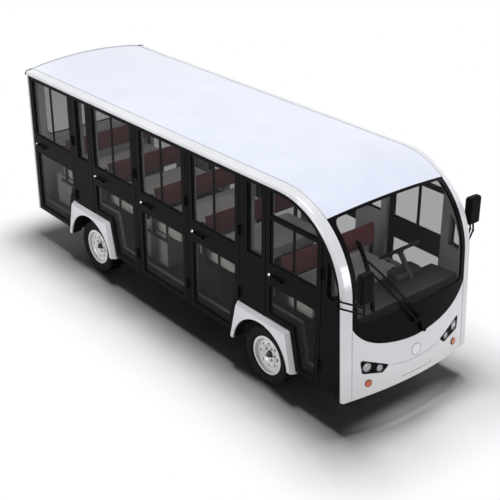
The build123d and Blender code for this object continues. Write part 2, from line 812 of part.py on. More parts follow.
def wheel(x, sign):
    # Profiles in (distance out along the axle, radius), spun about the axle
    spin = Plane(origin=(x, sign * wheel_y, tyre_radius), x_dir=(0, sign, 0), z_dir=(sign, 0, 0))
    axle_line = Axis((x, sign * wheel_y, tyre_radius), (0, 1, 0))
    w = tyre_width / 2
    seat = w - rim_inset
    lip = rim_radius + rim_flange
    bead = rim_radius + running_clearance
    bead_face = seat - running_clearance
    tyre_half = [(bead_face, bead), (bead_face, lip + 3), (w - 6, lip + 12), (w, tyre_radius - 58),
                 (w - 2, tyre_radius - 32), (w - 10, tyre_radius - 9), (w - 24, tyre_radius)]
    well = rim_radius - rim_drop
    wall = rim_radius - rim_wall
    rim_half = [(seat - 40, well), (seat - 25, rim_radius), (seat, rim_radius), (seat, lip), (seat + 6, lip),
                (seat + 6, wall), (seat - 22, wall), (seat - 38, well - rim_wall)]
    bore = stub_radius + running_clearance
    disc = [(seat - 44, well - 2), (seat - 22, 128), (seat - 16, 106), (seat - 20, 92), (seat - 34, 66),
            (seat - 34, bore), (seat - 34 - hub_depth, bore), (seat - 34 - hub_depth, hub_radius),
            (seat - hub_depth, hub_radius), (seat - hub_depth, 66), (seat - 28, 92), (seat - 24, 106),
            (seat - 30, 128), (seat - 52, well - 2)]
    faces = []
    for half in (tyre_half, rim_half):
        points = half + [(-u, v) for u, v in reversed(half)]
        faces.append(make_face(Polyline(*points, close=True)))
    tyre = revolve(spin * faces[0], axle_line)
    rim = revolve(spin * faces[1], axle_line) + revolve(spin * make_face(Polyline(*disc, close=True)), axle_line)
    for i in range(vent_holes):
        turn = Pos(x, sign * (wheel_y + seat), tyre_radius) * Rot(0, i * 360 / vent_holes, 0)
        rim = rim - turn * Pos(vent_circle, 0, 0) * Rot(90, 0, 0) * Cylinder(vent_radius, 2 * hub_depth)
    return tyre, rim


# Cabin

def seat_parts(station):
    x = at(station)
    base = block(x - base_behind, x + base_ahead, -seat_half, seat_half, floor_z, cushion_low_z)
    room = housing_half + housing_gap
    for name, wheel_x, sign in wheel_places():
        inner = sign * (housing_inner_y - housing_gap)
        base = base - block(wheel_x - room, wheel_x + room, inner, sign * half_width, 0, housing_top_z + housing_gap)
    bar = rectangle(x - bracket_behind, x + bracket_ahead, bracket_low_z, bracket_low_z + bracket_height, bracket_corner)
    post = rectangle(x - post_behind, x - post_behind + post_width, bracket_low_z, post_top_z, bracket_corner)
    bracket = right_slab(bar + post, -seat_half - bracket_thickness, -seat_half)
    cushion_half = seat_half - cushion_inset
    cushion = block(x - cushion_behind, x + cushion_ahead, -cushion_half, cushion_half, cushion_low_z,
                    cushion_low_z + cushion_height)
    foot = x - pad_behind
    head = foot - tan(radians(pad_lean)) * (pad_high_z - pad_low_z)
    side = outline([(foot, pad_low_z, pad_corner), (head, pad_high_z, pad_corner),
                    (head + pad_thickness, pad_high_z, pad_corner), (foot + pad_thickness, pad_low_z, pad_corner)])
    pad = right_slab(side, contact - seat_half, seat_half - contact)
    return base + bracket + left(bracket), fillet(cushion.edges(), cushion_corner), pad


def dashboard():
    x = at(dash_rear)
    front = front_line_x(dash_top_z + dash_front_rise) - skin - dash_gap
    brow_z = dash_top_z - dash_brow
    side = outline([(x + dash_brow * 0.7, dash_low_z, 20), (x, brow_z, dash_corner), (x + 40, dash_top_z, dash_corner),
                    (front - 2 * dash_wall, dash_top_z + dash_front_rise, 10), (front, dash_low_z, 10)])
    under = dash_low_z - dash_wall
    hollow = outline([(x + 4 * dash_wall, under, 0), (x + 3.2 * dash_wall, brow_z, 20),
                      (front - 4 * dash_wall, dash_top_z - dash_wall * 1.2, 20), (front - 2 * dash_wall, under, 0)])
    panel = right_slab(side, -lining_y, lining_y)
    panel = panel - right_slab(hollow, -lining_y + dash_wall, lining_y - dash_wall)
    pod = Pos(x + 40, wheel_side, dash_top_z) * fillet(Box(*pod_size).edges(), pod_corner)
    return panel + pod


def steering_axis():
    lean = radians(wheel_tilt)
    return Vector(-sin(lean), 0, cos(lean))


def steering_column():
    axis = steering_axis()
    hub = Vector(hand_wheel_x, wheel_side, wheel_z)
    start = hub - axis * column_length
    tube = rod(tuple(start), tuple(hub - axis * boss_height), column_radius)
    return tube + rod(tuple(start), tuple(hub - axis * shaft_tip), shaft_radius)


def steering_wheel():
    plane = Plane(origin=(hand_wheel_x, wheel_side, wheel_z), x_dir=(0, 1, 0), z_dir=steering_axis())
    middle = hand_wheel_radius - hand_wheel_rim
    section = Plane.XZ * Pos(middle, 0) * RegularPolygon(hand_wheel_rim, rim_sides)
    solid = plane * revolve(section, Axis.Z)
    solid = solid + plane * Pos(0, 0, -boss_height / 2) * Cylinder(boss_radius, boss_height)
    for angle in spoke_angles:
        bar = Pos(middle / 2, 0, -shaft_tip) * Box(middle, spoke_width, spoke_thickness)
        solid = solid + plane * Rot(0, 0, angle) * bar
    bore = Cylinder(shaft_radius + running_clearance, boss_height, align=(Align.CENTER, Align.CENTER, Align.MAX))
    return solid - plane * Pos(0, 0, -shaft_tip + running_clearance) * bore


# Mirrors and wiper

def mirror_head(x, y, z):
    shell = Pos(x, y, z) * Box(mirror_depth, mirror_width, mirror_height)
    return fillet(shell.edges(), mirror_corner)


def right_mirror(foot):
    x = overall_length / 2 - mirror_depth / 2
    low = right_mirror_z - mirror_height / 2 - bracket_drop
    solid = mirror_head(x, -mirror_y, right_mirror_z) + foot
    solid = solid + rod((x, -mirror_y, low), (x, -mirror_y, right_mirror_z), mirror_arm_radius)
    for rise in (-arm_pitch / 2, arm_pitch / 2):
        start = (front_x - mirror_foot_back, -side_y - mirror_foot_depth, mirror_foot_z + rise)
        end = (x, -mirror_y, low + arm_pitch / 2 + mirror_arm_radius + rise)
        solid = solid + rod(start, end, mirror_arm_radius)
    return solid


def left_mirror(foot):
    x = front_x - left_mirror_back
    foot_x = front_x - mirror_foot_back
    low = left_mirror_z - mirror_height / 2
    solid = mirror_head(x, mirror_y, left_mirror_z) + foot
    for shift in (-2 * mirror_arm_radius, 2 * mirror_arm_radius):
        elbow = (foot_x + shift, mirror_y, low - elbow_drop)
        start = (foot_x + shift / 2, side_y + mirror_foot_depth / 2, mirror_foot_z + shift)
        solid = solid + rod(start, elbow, mirror_arm_radius)
        solid = solid + rod(elbow, (x + shift, mirror_y, low + mirror_corner), mirror_arm_radius)
        solid = solid + Pos(*elbow) * Sphere(elbow_radius)
    return solid


def mirrors():
    x = front_x - mirror_foot_back
    d = mirror_foot_depth
    foot = block(x - d, x + d, -side_y - d, -side_y, mirror_foot_z - mirror_foot_half, mirror_foot_z + mirror_foot_half)
    return group([right_mirror(foot), left_mirror(left(foot))])


def wiper():
    # Strips that follow the front, each between two heights over its skin
    solid = None
    for points, width, low, high in wiper_parts:
        face = make_face(offset(Polyline(*points), width / 2, side=Side.BOTH))
        strip = (screen_layer(-high, -low) + nose_layer(-high, -low)) & front_cut(face)
        solid = strip if solid is None else solid + strip
    return solid


def battery_pack():
    top = rail_top_z - cross_height
    half = rail_y - rail_width / 2 - battery_gap
    rear, front = battery_stations
    case = block(at(rear), at(front), -half, half, top - battery_height, top)
    return fillet(case.edges().filter_by(Axis.Z), battery_corner)


def body_parts():
    roof, nose, surround, screen = body_skins()
    nose, housing, lenses, turn = front_lamps(nose)
    panel, rear_pane, tail = rear_panel()
    frame = side_frame()
    return {
        "roof_panel": roof,
        "side_bands": both_sides(along_profile(band_section(), nose_bottom_z)),
        "front_nose": nose,
        "screen_surround": surround,
        "windscreen": screen,
        "headlamp_housings": both_sides(housing),
        "headlamp_lenses": both_sides(*lenses),
        "turn_lamps": both_sides(turn),
        "rear_panel": panel,
        "side_frame_right": frame,
        "side_frame_left": left(frame),
        "fixed_windows": group([both_sides(*fixed_side_panes()), rear_pane]),
        "tail_lamps": both_sides(tail),
        "arch_flares": both_sides(flare(rear_axle_x), flare(front_axle_x)),
        "mirrors": mirrors(),
        "wiper": wiper(),
    }


def door_nodes():
    parts = {}
    hinges = []
    for name, rear, front, hinge_z in door_rows:
        door, glazing = door_parts(name, rear, front, hinge_z)
        parts[f"door_{name}_right"] = door
        parts[f"door_{name}_left"] = left(door)
        parts[f"door_glass_{name}_right"] = group(glazing)
        parts[f"door_glass_{name}_left"] = group([left(pane) for pane in glazing])
        hinges += hinge_posts(front, hinge_z)
    parts["door_hinges"] = both_sides(*hinges)
    return parts


def running_gear():
    parts = {
        "floor_pan": floor_pan(),
        "chassis_frame": chassis_frame(),
        "leaf_springs": both_sides(leaf_spring(rear_axle_x), leaf_spring(front_axle_x)),
        "rear_axle": rear_axle(),
        "front_axle": front_axle(),
        "steering_rack": rack_housing(),
        "tie_rod": tie_rod(),
        "knuckle_right": knuckle(-1),
        "knuckle_left": knuckle(1),
        "battery_pack": battery_pack(),
    }
    for name, x, sign in wheel_places():
        parts[f"tyre_{name}"], parts[f"rim_{name}"] = wheel(x, sign)
    return parts


def cabin_parts():
    bases, cushions, pads = zip(*[seat_parts(station) for station in seat_rows])
    return {
        "seat_bases": group(bases),
        "seat_cushions": group(cushions),
        "seat_backs": group(pads),
        "dashboard": dashboard() + steering_column(),
        "steering_wheel": steering_wheel(),
    }


def main():
    os.makedirs("parts", exist_ok=True)
    parts = body_parts() | door_nodes() | running_gear() | cabin_parts()
    for name, shape in parts.items():
        export_step(shape, f"parts/{name}.step")
    print(len(parts), "nodes")


main()
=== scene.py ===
import bpy
import json
from math import cos, pi, radians, sin
from mathutils import Matrix, Vector, kdtree

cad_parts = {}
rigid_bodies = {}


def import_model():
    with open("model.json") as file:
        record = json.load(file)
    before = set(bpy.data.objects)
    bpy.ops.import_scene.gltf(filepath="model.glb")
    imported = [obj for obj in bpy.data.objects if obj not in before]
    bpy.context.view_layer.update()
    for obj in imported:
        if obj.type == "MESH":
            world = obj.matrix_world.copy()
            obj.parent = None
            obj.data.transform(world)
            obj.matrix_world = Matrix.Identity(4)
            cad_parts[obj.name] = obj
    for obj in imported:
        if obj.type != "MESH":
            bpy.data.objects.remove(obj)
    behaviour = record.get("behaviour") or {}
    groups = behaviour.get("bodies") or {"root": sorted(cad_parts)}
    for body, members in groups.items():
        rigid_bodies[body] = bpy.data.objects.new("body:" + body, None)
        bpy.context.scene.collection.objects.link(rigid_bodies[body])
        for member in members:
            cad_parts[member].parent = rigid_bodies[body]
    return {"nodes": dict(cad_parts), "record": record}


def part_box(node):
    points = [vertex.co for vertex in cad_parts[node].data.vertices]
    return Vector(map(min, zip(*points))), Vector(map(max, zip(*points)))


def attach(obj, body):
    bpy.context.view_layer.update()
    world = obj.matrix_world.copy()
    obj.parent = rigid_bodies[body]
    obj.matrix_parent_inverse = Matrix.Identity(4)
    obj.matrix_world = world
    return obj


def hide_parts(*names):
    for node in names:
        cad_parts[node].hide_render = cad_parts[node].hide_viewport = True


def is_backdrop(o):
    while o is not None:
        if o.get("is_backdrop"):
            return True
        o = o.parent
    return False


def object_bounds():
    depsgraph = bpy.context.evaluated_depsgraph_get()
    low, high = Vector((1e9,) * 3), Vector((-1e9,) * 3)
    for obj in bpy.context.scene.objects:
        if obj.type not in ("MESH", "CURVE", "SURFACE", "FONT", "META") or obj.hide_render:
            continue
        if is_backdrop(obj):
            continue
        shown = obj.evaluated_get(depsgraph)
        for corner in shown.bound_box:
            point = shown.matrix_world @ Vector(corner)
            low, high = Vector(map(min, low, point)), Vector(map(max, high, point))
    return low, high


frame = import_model()
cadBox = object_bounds()
nodes = frame["nodes"]
scene = bpy.context.scene
scene.view_settings.view_transform = "Standard"
print("frame:", len(nodes), "nodes")


# materials, one maker for each kind of stuff
def linear(hexColour):
    parts = [int(hexColour[i:i + 2], 16) / 255 for i in (1, 3, 5)]
    return [p / 12.92 if p <= 0.04045 else ((p + 0.055) / 1.055) ** 2.4 for p in parts] + [1.0]


def addNode(mat, kind, settings=None, inputs=None):
    # inputs hold socket values, or (node, output) pairs to link
    node = mat.node_tree.nodes.new(kind)
    for name, value in (settings or {}).items():
        setattr(node, name, value)
    for name, value in (inputs or {}).items():
        if isinstance(value, tuple) and isinstance(value[0], bpy.types.Node):
            mat.node_tree.links.new(value[0].outputs[value[1]], node.inputs[name])
        else:
            node.inputs[name].default_value = value
    return node


def startMaterial(name):
    mat = bpy.data.materials.new(name)
    mat.use_nodes = True
    mat.node_tree.nodes.clear()
    return mat, addNode(mat, "ShaderNodeTexCoord")


def closeMaterial(mat, **inputs):
    sockets = {name.replace("_", " "): value for name, value in inputs.items()}
    shader = addNode(mat, "ShaderNodeBsdfPrincipled", None, sockets)
    addNode(mat, "ShaderNodeOutputMaterial", None, {"Surface": (shader, 0)})
    return mat


def speckled(mat, coord, colourA, colourB, sizeMm, low=0.35, high=0.65):
    # two tones mixed by a noise of one real size
    noise = addNode(mat, "ShaderNodeTexNoise", None,
                    {"Vector": (coord, "Object"), "Scale": 1000 / sizeMm, "Detail": 4, "Roughness": 0.6})
    ramp = addNode(mat, "ShaderNodeMapRange", None,
                   {"Value": (noise, 0), "From Min": low, "From Max": high})
    tone = addNode(mat, "ShaderNodeMix", {"data_type": "RGBA"},
                   {0: (ramp, 0), 6: linear(colourA), 7: linear(colourB)})
    return tone, ramp


def bumped(mat, coord, sizeMm, depthMm, kind="ShaderNodeTexNoise"):
    grain = addNode(mat, kind, None, {"Vector": (coord, "Object"), "Scale": 1000 / sizeMm})
    return addNode(mat, "ShaderNodeBump", None,
                   {"Height": (grain, 0), "Distance": depthMm / 1000, "Strength": 1.0})


# the body is mixed towards this tone more and more from fromZ down to toZ, up to share: greyer and darker towards
# the bottom
lowerTint = {"tone": "#b9b6b0", "fromZ": 0.62, "toZ": 0.33, "share": 0.3}


def gelcoatMaterial(name, tone, shade, arches=None):
    # gel-coated fibreglass, polished from the mould: deep gloss, faint orange peel, greyer and darker towards the
    # bottom;
    # inside a wheel arch, back from the rim, it is painted dull black as painted shade in the arch
    mat, coord = startMaterial(name)
    colour, mask = speckled(mat, coord, tone, shade, 420)
    split = addNode(mat, "ShaderNodeSeparateXYZ", None, {0: (coord, "Object")})
    low = addNode(mat, "ShaderNodeMapRange", None,
                  {"Value": (split, 2), "From Min": lowerTint["fromZ"], "From Max": lowerTint["toZ"],
                   "To Max": lowerTint["share"]})
    lowTinted = addNode(mat, "ShaderNodeMix", {"data_type": "RGBA"},
                   {0: (low, 0), 6: (colour, 2), 7: linear(lowerTint["tone"])})
    rough = addNode(mat, "ShaderNodeMapRange", None, {"Value": (mask, 0), "To Min": 0.16, "To Max": 0.24})
    peel = bumped(mat, coord, 9, 0.02)   # 3 mm peel drawn at 9 mm so that it shows
    if not arches:
        return closeMaterial(mat, Base_Color=(lowTinted, 2), Roughness=(rough, 0), Normal=(peel, 0), IOR=1.5,
                             Coat_Weight=0.5, Coat_Roughness=0.06)
    flat = addNode(mat, "ShaderNodeVectorMath", {"operation": "MULTIPLY"},
                   {0: (coord, "Object"), 1: (1, 0, 1)})
    side = addNode(mat, "ShaderNodeMath", {"operation": "ABSOLUTE"}, {0: (split, 1)})
    inside = None
    for centre in arches["centres"]:
        away = addNode(mat, "ShaderNodeVectorMath", {"operation": "DISTANCE"}, {0: (flat, 0), 1: centre})
        near = addNode(mat, "ShaderNodeMath", {"operation": "LESS_THAN"}, {0: (away, 1), 1: arches["radius"]})
        if inside:
            near = addNode(mat, "ShaderNodeMath", {"operation": "MAXIMUM"}, {0: (inside, 0), 1: (near, 0)})
        inside = near
    # painted shade: faces inside the arches, back from the rim, are coloured dull black with no coat
    deep = addNode(mat, "ShaderNodeMath", {"operation": "LESS_THAN"}, {0: (side, 0), 1: arches["fromY"]})
    shadedInArch = addNode(mat, "ShaderNodeMath", {"operation": "MULTIPLY"}, {0: (inside, 0), 1: (deep, 0)})
    both = addNode(mat, "ShaderNodeMix", {"data_type": "RGBA"},
                   {0: (shadedInArch, 0), 6: (lowTinted, 2), 7: linear(arches["archShadeTone"])})
    dull = addNode(mat, "ShaderNodeMix", None, {0: (shadedInArch, 0), 2: (rough, 0), 3: 0.85})
    coat = addNode(mat, "ShaderNodeMapRange", None, {"Value": (shadedInArch, 0), "To Min": 0.5, "To Max": 0.0})
    return closeMaterial(mat, Base_Color=(both, 2), Roughness=(dull, 0), Normal=(peel, 0), IOR=1.5,
                         Coat_Weight=(coat, 0), Coat_Roughness=0.06, Specular_IOR_Level=0.2)


def powderMaterial(name, tone, shade, lining=None, liningFrom=0.0):
    # powder-coated steel section: satin black with a fine pebble; the lining inboard is pale moulded board
    mat, coord = startMaterial(name)
    colour, mask = speckled(mat, coord, tone, shade, 60)
    rough = addNode(mat, "ShaderNodeMapRange", None, {"Value": (mask, 0), "To Min": 0.34, "To Max": 0.46})
    pebble = bumped(mat, coord, 4, 0.03, "ShaderNodeTexVoronoi")   # 1 mm pebble drawn at 4 mm
    out = (colour, 2)
    if lining:
        split = addNode(mat, "ShaderNodeSeparateXYZ", None, {0: (coord, "Object")})
        side = addNode(mat, "ShaderNodeMath", {"operation": "ABSOLUTE"}, {0: (split, 1)})
        inboard = addNode(mat, "ShaderNodeMath", {"operation": "LESS_THAN"}, {0: (side, 0), 1: liningFrom})
        both = addNode(mat, "ShaderNodeMix", {"data_type": "RGBA"},
                       {0: (inboard, 0), 6: (colour, 2), 7: linear(lining)})
        out = (both, 2)
    return closeMaterial(mat, Base_Color=out, Roughness=(rough, 0), Normal=(pebble, 0), IOR=1.5,
                         Specular_IOR_Level=0.035)


def glassMaterial(name, tone, shade, alpha, gloss):
    # toughened glass with a grey tint: clear, mirror-smooth, faintly smeared by wiping
    mat, coord = startMaterial(name)
    colour, mask = speckled(mat, coord, tone, shade, 260)
    rough = addNode(mat, "ShaderNodeMapRange", None, {"Value": (mask, 0), "To Min": 0.02, "To Max": 0.07})
    return closeMaterial(mat, Base_Color=(colour, 2), Roughness=(rough, 0), Alpha=alpha, IOR=1.52,
                         Specular_IOR_Level=gloss)


def lensMaterial(name, tone, shade, prismMm, alpha=1.0):
    # moulded polycarbonate lens: glossy, with prisms pressed in its inside
    mat, coord = startMaterial(name)
    cells = addNode(mat, "ShaderNodeTexVoronoi", {"feature": "F1", "distance": "CHEBYCHEV"},
                    {"Vector": (coord, "Object"), "Scale": 1000 / prismMm, "Randomness": 0.0})
    ramp = addNode(mat, "ShaderNodeMapRange", None, {"Value": (cells, 0), "From Max": 0.6})
    colour = addNode(mat, "ShaderNodeMix", {"data_type": "RGBA"},
                     {0: (ramp, 0), 6: linear(tone), 7: linear(shade)})
    bump = addNode(mat, "ShaderNodeBump", None, {"Height": (ramp, 0), "Distance": 0.0006, "Strength": 0.6})
    return closeMaterial(mat, Base_Color=(colour, 2), Normal=(bump, 0), Roughness=0.08, IOR=1.58, Alpha=alpha,
                         Coat_Weight=0.4)


def chassisMaterial(name, tone, dust):
    # black chassis paint over steel: dull, with road dust that gathers in patches
    mat, coord = startMaterial(name)
    colour, mask = speckled(mat, coord, tone, dust, 130, 0.5, 0.85)
    rough = addNode(mat, "ShaderNodeMapRange", None, {"Value": (mask, 0), "To Min": 0.5, "To Max": 0.8})
    return closeMaterial(mat, Base_Color=(colour, 2), Roughness=(rough, 0), IOR=1.5,
                         Normal=(bumped(mat, coord, 12, 0.08), 0))


def ribbedFloorMaterial(name, tone, shade, ribMm):
    # rubber floor covering with ribs along the car
    mat, coord = startMaterial(name)
    colour = speckled(mat, coord, tone, shade, 90)[0]
    ribs = addNode(mat, "ShaderNodeTexWave", {"bands_direction": "Y"},
                   {"Vector": (coord, "Object"), "Scale": 1000 / ribMm / pi})   # about one rib each ribMm
    bump = addNode(mat, "ShaderNodeBump", None, {"Height": (ribs, 1), "Distance": 0.0015})
    return closeMaterial(mat, Base_Color=(colour, 2), Roughness=0.72, Normal=(bump, 0), IOR=1.5,
                         Specular_IOR_Level=0.2)


def laminateMaterial(name, pale, paleShade, bracketAndShadeTone, shadedRows, bracketFrom):
    # board faced with hard laminate, pale grey; on some rows charcoal is painted shade for the dark space under
    # those benches; the end brackets are black steel
    mat, coord = startMaterial(name)
    paleTone, mask = speckled(mat, coord, pale, paleShade, 200)
    split = addNode(mat, "ShaderNodeSeparateXYZ", None, {0: (coord, "Object")})
    side = addNode(mat, "ShaderNodeMath", {"operation": "ABSOLUTE"}, {0: (split, 1)})
    bracketAndShadeMask = addNode(mat, "ShaderNodeMath", {"operation": "GREATER_THAN"}, {0: (side, 0), 1: bracketFrom})
    # painted shade: the boards of these rows take the charcoal tone
    for low, high in shadedRows:
        row = addNode(mat, "ShaderNodeMath", {"operation": "COMPARE"},
                      {0: (split, 0), 1: (low + high) / 2, 2: (high - low) / 2})
        bracketAndShadeMask = addNode(mat, "ShaderNodeMath", {"operation": "MAXIMUM"}, {0: (bracketAndShadeMask, 0), 1: (row, 0)})
    colour = addNode(mat, "ShaderNodeMix", {"data_type": "RGBA"},
                     {0: (bracketAndShadeMask, 0), 6: (paleTone, 2), 7: linear(bracketAndShadeTone)})
    rough = addNode(mat, "ShaderNodeMapRange", None, {"Value": (mask, 0), "To Min": 0.35, "To Max": 0.5})
    return closeMaterial(mat, Base_Color=(colour, 2), Roughness=(rough, 0), IOR=1.5, Specular_IOR_Level=0.2,
                         Normal=(bumped(mat, coord, 5, 0.03), 0))


def leatheretteMaterial(name, tone, shade, grainMm):
    # vinyl leatherette over foam: soft gloss, pebbled grain, paler where it is stretched
    mat, coord = startMaterial(name)
    colour, mask = speckled(mat, coord, tone, shade, 75, 0.3, 0.75)
    grain = addNode(mat, "ShaderNodeTexVoronoi", {"feature": "DISTANCE_TO_EDGE"},
                    {"Vector": (coord, "Object"), "Scale": 1000 / grainMm})
    cells = addNode(mat, "ShaderNodeMapRange", None, {"Value": (grain, 0), "From Max": 0.25})
    bump = addNode(mat, "ShaderNodeBump", None, {"Height": (cells, 0), "Distance": 0.0005, "Strength": 0.7})
    rough = addNode(mat, "ShaderNodeMapRange", None, {"Value": (mask, 0), "To Min": 0.4, "To Max": 0.55})
    return closeMaterial(mat, Base_Color=(colour, 2), Roughness=(rough, 0), Normal=(bump, 0), IOR=1.5,
                         Sheen_Weight=0.15)


def rubberMaterial(name, tone, shade, rough, grainMm=3):
    # moulded black rubber: dull, slightly grey where it has bloomed
    mat, coord = startMaterial(name)
    colour = speckled(mat, coord, tone, shade, 45, 0.4, 0.8)[0]
    return closeMaterial(mat, Base_Color=(colour, 2), Roughness=rough, IOR=1.5, Specular_IOR_Level=0.12,
                         Normal=(bumped(mat, coord, grainMm, 0.06), 0))


def metalMaterial(name, tone, shade, roughLow, roughHigh, brushMm=2):
    # bare or plated metal: bright, its fine finishing marks only just seen
    mat, coord = startMaterial(name)
    colour, mask = speckled(mat, coord, tone, shade, 20)
    rough = addNode(mat, "ShaderNodeMapRange", None,
                    {"Value": (mask, 0), "To Min": roughLow, "To Max": roughHigh})
    return closeMaterial(mat, Base_Color=(colour, 2), Metallic=1.0, Roughness=(rough, 0),
                         Normal=(bumped(mat, coord, brushMm, 0.01), 0))


def absMaterial(name, tone, shade, rough, grainMm):
    # injection-moulded ABS with a spark-eroded grain
    mat, coord = startMaterial(name)
    colour = speckled(mat, coord, tone, shade, 110)[0]
    return closeMaterial(mat, Base_Color=(colour, 2), Roughness=rough, IOR=1.53,
                         Normal=(bumped(mat, coord, grainMm, 0.05, "ShaderNodeTexVoronoi"), 0))


wheelArches = {"centres": [(1.29, 0, 0.281), (-1.44, 0, 0.281)], "radius": 0.3656, "fromY": 0.772,
               "archShadeTone": "#0b0b0c"}
finish = {
    "gelcoat": gelcoatMaterial("gelcoated_fibreglass", "#dfe0e4", "#d7d8dd"),
    "arch": gelcoatMaterial("arch_gelcoat_with_painted_shade", "#e2e3e7", "#dadbe0", wheelArches),
    # the roof is the body's gelcoat; its cooler, paler tone is painted light of the overhead lamp
    "roof": gelcoatMaterial("roof_gelcoat_painted_overhead_tint", "#dfe4f4", "#d9deef"),
    "enamel": gelcoatMaterial("white_wheel_enamel", "#eceef1", "#e2e4e8"),
    "powder": powderMaterial("satin_powder_coat", "#0a0a0b", "#0e0e10"),
    "pillar": powderMaterial("pillar_powder_and_lining", "#0a0a0b", "#0e0e10", "#9a9b9f", 0.7015),
    "glass": glassMaterial("grey_tinted_glass", "#17181a", "#1e1f22", 0.33, 0.12),
    "screen": glassMaterial("windscreen_glass", "#17181a", "#1e1f22", 0.12, 0.4),
    "lens": lensMaterial("clear_polycarbonate", "#f2f4f6", "#e2e6ea", 9, 0.28),
    "amber": lensMaterial("amber_polycarbonate", "#d2621c", "#a8440e", 7),
    "red": lensMaterial("red_polycarbonate", "#a8181c", "#7c0f13", 8),
    "lampBlack": absMaterial("gloss_black_abs", "#0c0c0e", "#121214", 0.16, 6),
    "chassis": chassisMaterial("chassis_paint", "#161617", "#3c3833"),
    "floor": ribbedFloorMaterial("ribbed_rubber_floor", "#2b2c2f", "#35363a", 24),
    # the boards of rows 1, 2 and 4 are painted charcoal as shade under those benches
    "laminate": laminateMaterial("grey_laminate_board", "#d8d9db", "#cccdd0", "#2e2f33",
                                 [(0.95, 1.75), (-0.05, 0.75), (-1.7, -0.9)], 0.5602),
    "cream": leatheretteMaterial("cream_leatherette", "#cac7c0", "#bdb9b1", 7),
    "maroon": leatheretteMaterial("maroon_leatherette", "#6b2328", "#5a1b20", 7),
    "tyre": rubberMaterial("tyre_rubber", "#0e0e0f", "#18181a", 0.75),
    "sealant": rubberMaterial("grey_sealant", "#a6a9b0", "#b2b5bb", 0.5, 4),
    "seal": rubberMaterial("seal_rubber", "#101011", "#18181a", 0.6, 5),
    "grip": rubberMaterial("hand_wheel_foam", "#141415", "#1c1c1e", 0.55, 2),
    "chrome": metalMaterial("chrome_plate", "#d9dbde", "#c8cacd", 0.06, 0.12),
    "zinc": metalMaterial("zinc_plated_steel", "#9fa2a6", "#84878b", 0.28, 0.4),
    "dash": absMaterial("grained_black_abs", "#1d1d20", "#252528", 0.5, 5),
    "dial": absMaterial("smoked_acrylic", "#060708", "#0b0c0e", 0.06, 40),
    "mirror": metalMaterial("mirror_silver", "#cfd4d8", "#c4cacf", 0.01, 0.02, 60),
}
nodeFinish = {
    "roof": ["roof_panel"],
    "gelcoat": ["side_bands", "rear_panel", "front_nose"],
    "arch": ["arch_flares"],
    "pillar": ["side_frame_right", "side_frame_left"],
    "powder": ["screen_surround", "headlamp_housings", "mirrors", "wiper", "door_hinges"],
    "glass": ["fixed_windows"],
    "screen": ["windscreen"],
    "lens": ["headlamp_lenses"],
    "amber": ["turn_lamps"],
    "red": ["tail_lamps"],
    "chassis": ["chassis_frame", "leaf_springs", "rear_axle", "front_axle", "steering_rack", "knuckle_right",
                "knuckle_left", "tie_rod", "battery_pack"],
    "floor": ["floor_pan"],
    "laminate": ["seat_bases"],
    "cream": ["seat_cushions"],
    "maroon": ["seat_backs"],
    "grip": ["steering_wheel"],
    "dash": ["dashboard"],
}
for name in nodes:
    if name.startswith("door_glass"):
        nodeFinish["glass"].append(name)
    elif name.startswith("door_") and name != "door_hinges":
        nodeFinish["powder"].append(name)
    elif name.startswith("tyre"):
        nodeFinish.setdefault("tyre", []).append(name)
    elif name.startswith("rim"):
        nodeFinish.setdefault("enamel", []).append(name)


def dress(obj, key):
    obj.data.materials.clear()
    obj.data.materials.append(finish[key])


for key, names in nodeFinish.items():
    for name in names:
        dress(nodes[name], key)
print("materials:", len(finish))


# modelling helpers
def active(obj):
    bpy.ops.object.select_all(action="DESELECT")
    obj.select_set(True)
    bpy.context.view_layer.objects.active = obj
    return obj


def pick(obj, test):
    # faces whose centre and normal pass the test are left selected in edit mode
    active(obj)
    bpy.ops.object.mode_set(mode="EDIT")
    bpy.ops.mesh.select_mode(type="FACE")
    bpy.ops.mesh.select_all(action="DESELECT")
    bpy.ops.object.mode_set(mode="OBJECT")
    for face in obj.data.polygons:
        face.select = test(face.center, face.normal)
    bpy.ops.object.mode_set(mode="EDIT")


def leaveEdit():
    bpy.ops.object.mode_set(mode="OBJECT")


def tidyMesh(obj, mergeMm=0.05, smoothAngle=35):
    active(obj)
    bpy.ops.object.mode_set(mode="EDIT")
    bpy.ops.mesh.select_all(action="SELECT")
    bpy.ops.mesh.remove_doubles(threshold=mergeMm / 1000)
    bpy.ops.mesh.normals_make_consistent(inside=False)
    leaveEdit()
    bpy.ops.object.shade_smooth_by_angle(angle=radians(smoothAngle))


def applyModifier(obj, kind, **settings):
    active(obj)
    mod = obj.modifiers.new(kind.lower(), kind)
    for name, value in settings.items():
        setattr(mod, name, value)
    bpy.ops.object.modifier_apply(modifier=mod.name)


def settle(obj, name, key, body):
    # place into the mesh, finish on, riding on its body
    active(obj)
    bpy.ops.object.transform_apply(location=True, rotation=True, scale=True)
    obj.name = name
    dress(obj, key)
    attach(obj, body)
    return obj


def joined(parts):
    bpy.ops.object.select_all(action="DESELECT")
    for part in parts:
        part.select_set(True)
    bpy.context.view_layer.objects.active = parts[0]
    bpy.ops.object.transform_apply(location=True, rotation=True, scale=True)
    if len(parts) > 1:
        bpy.ops.object.join()
    return bpy.context.object


def copied(obj, matrix):
    twin = obj.copy()
    twin.data = obj.data.copy()
    bpy.context.collection.objects.link(twin)
    twin.data.transform(matrix)
    return twin


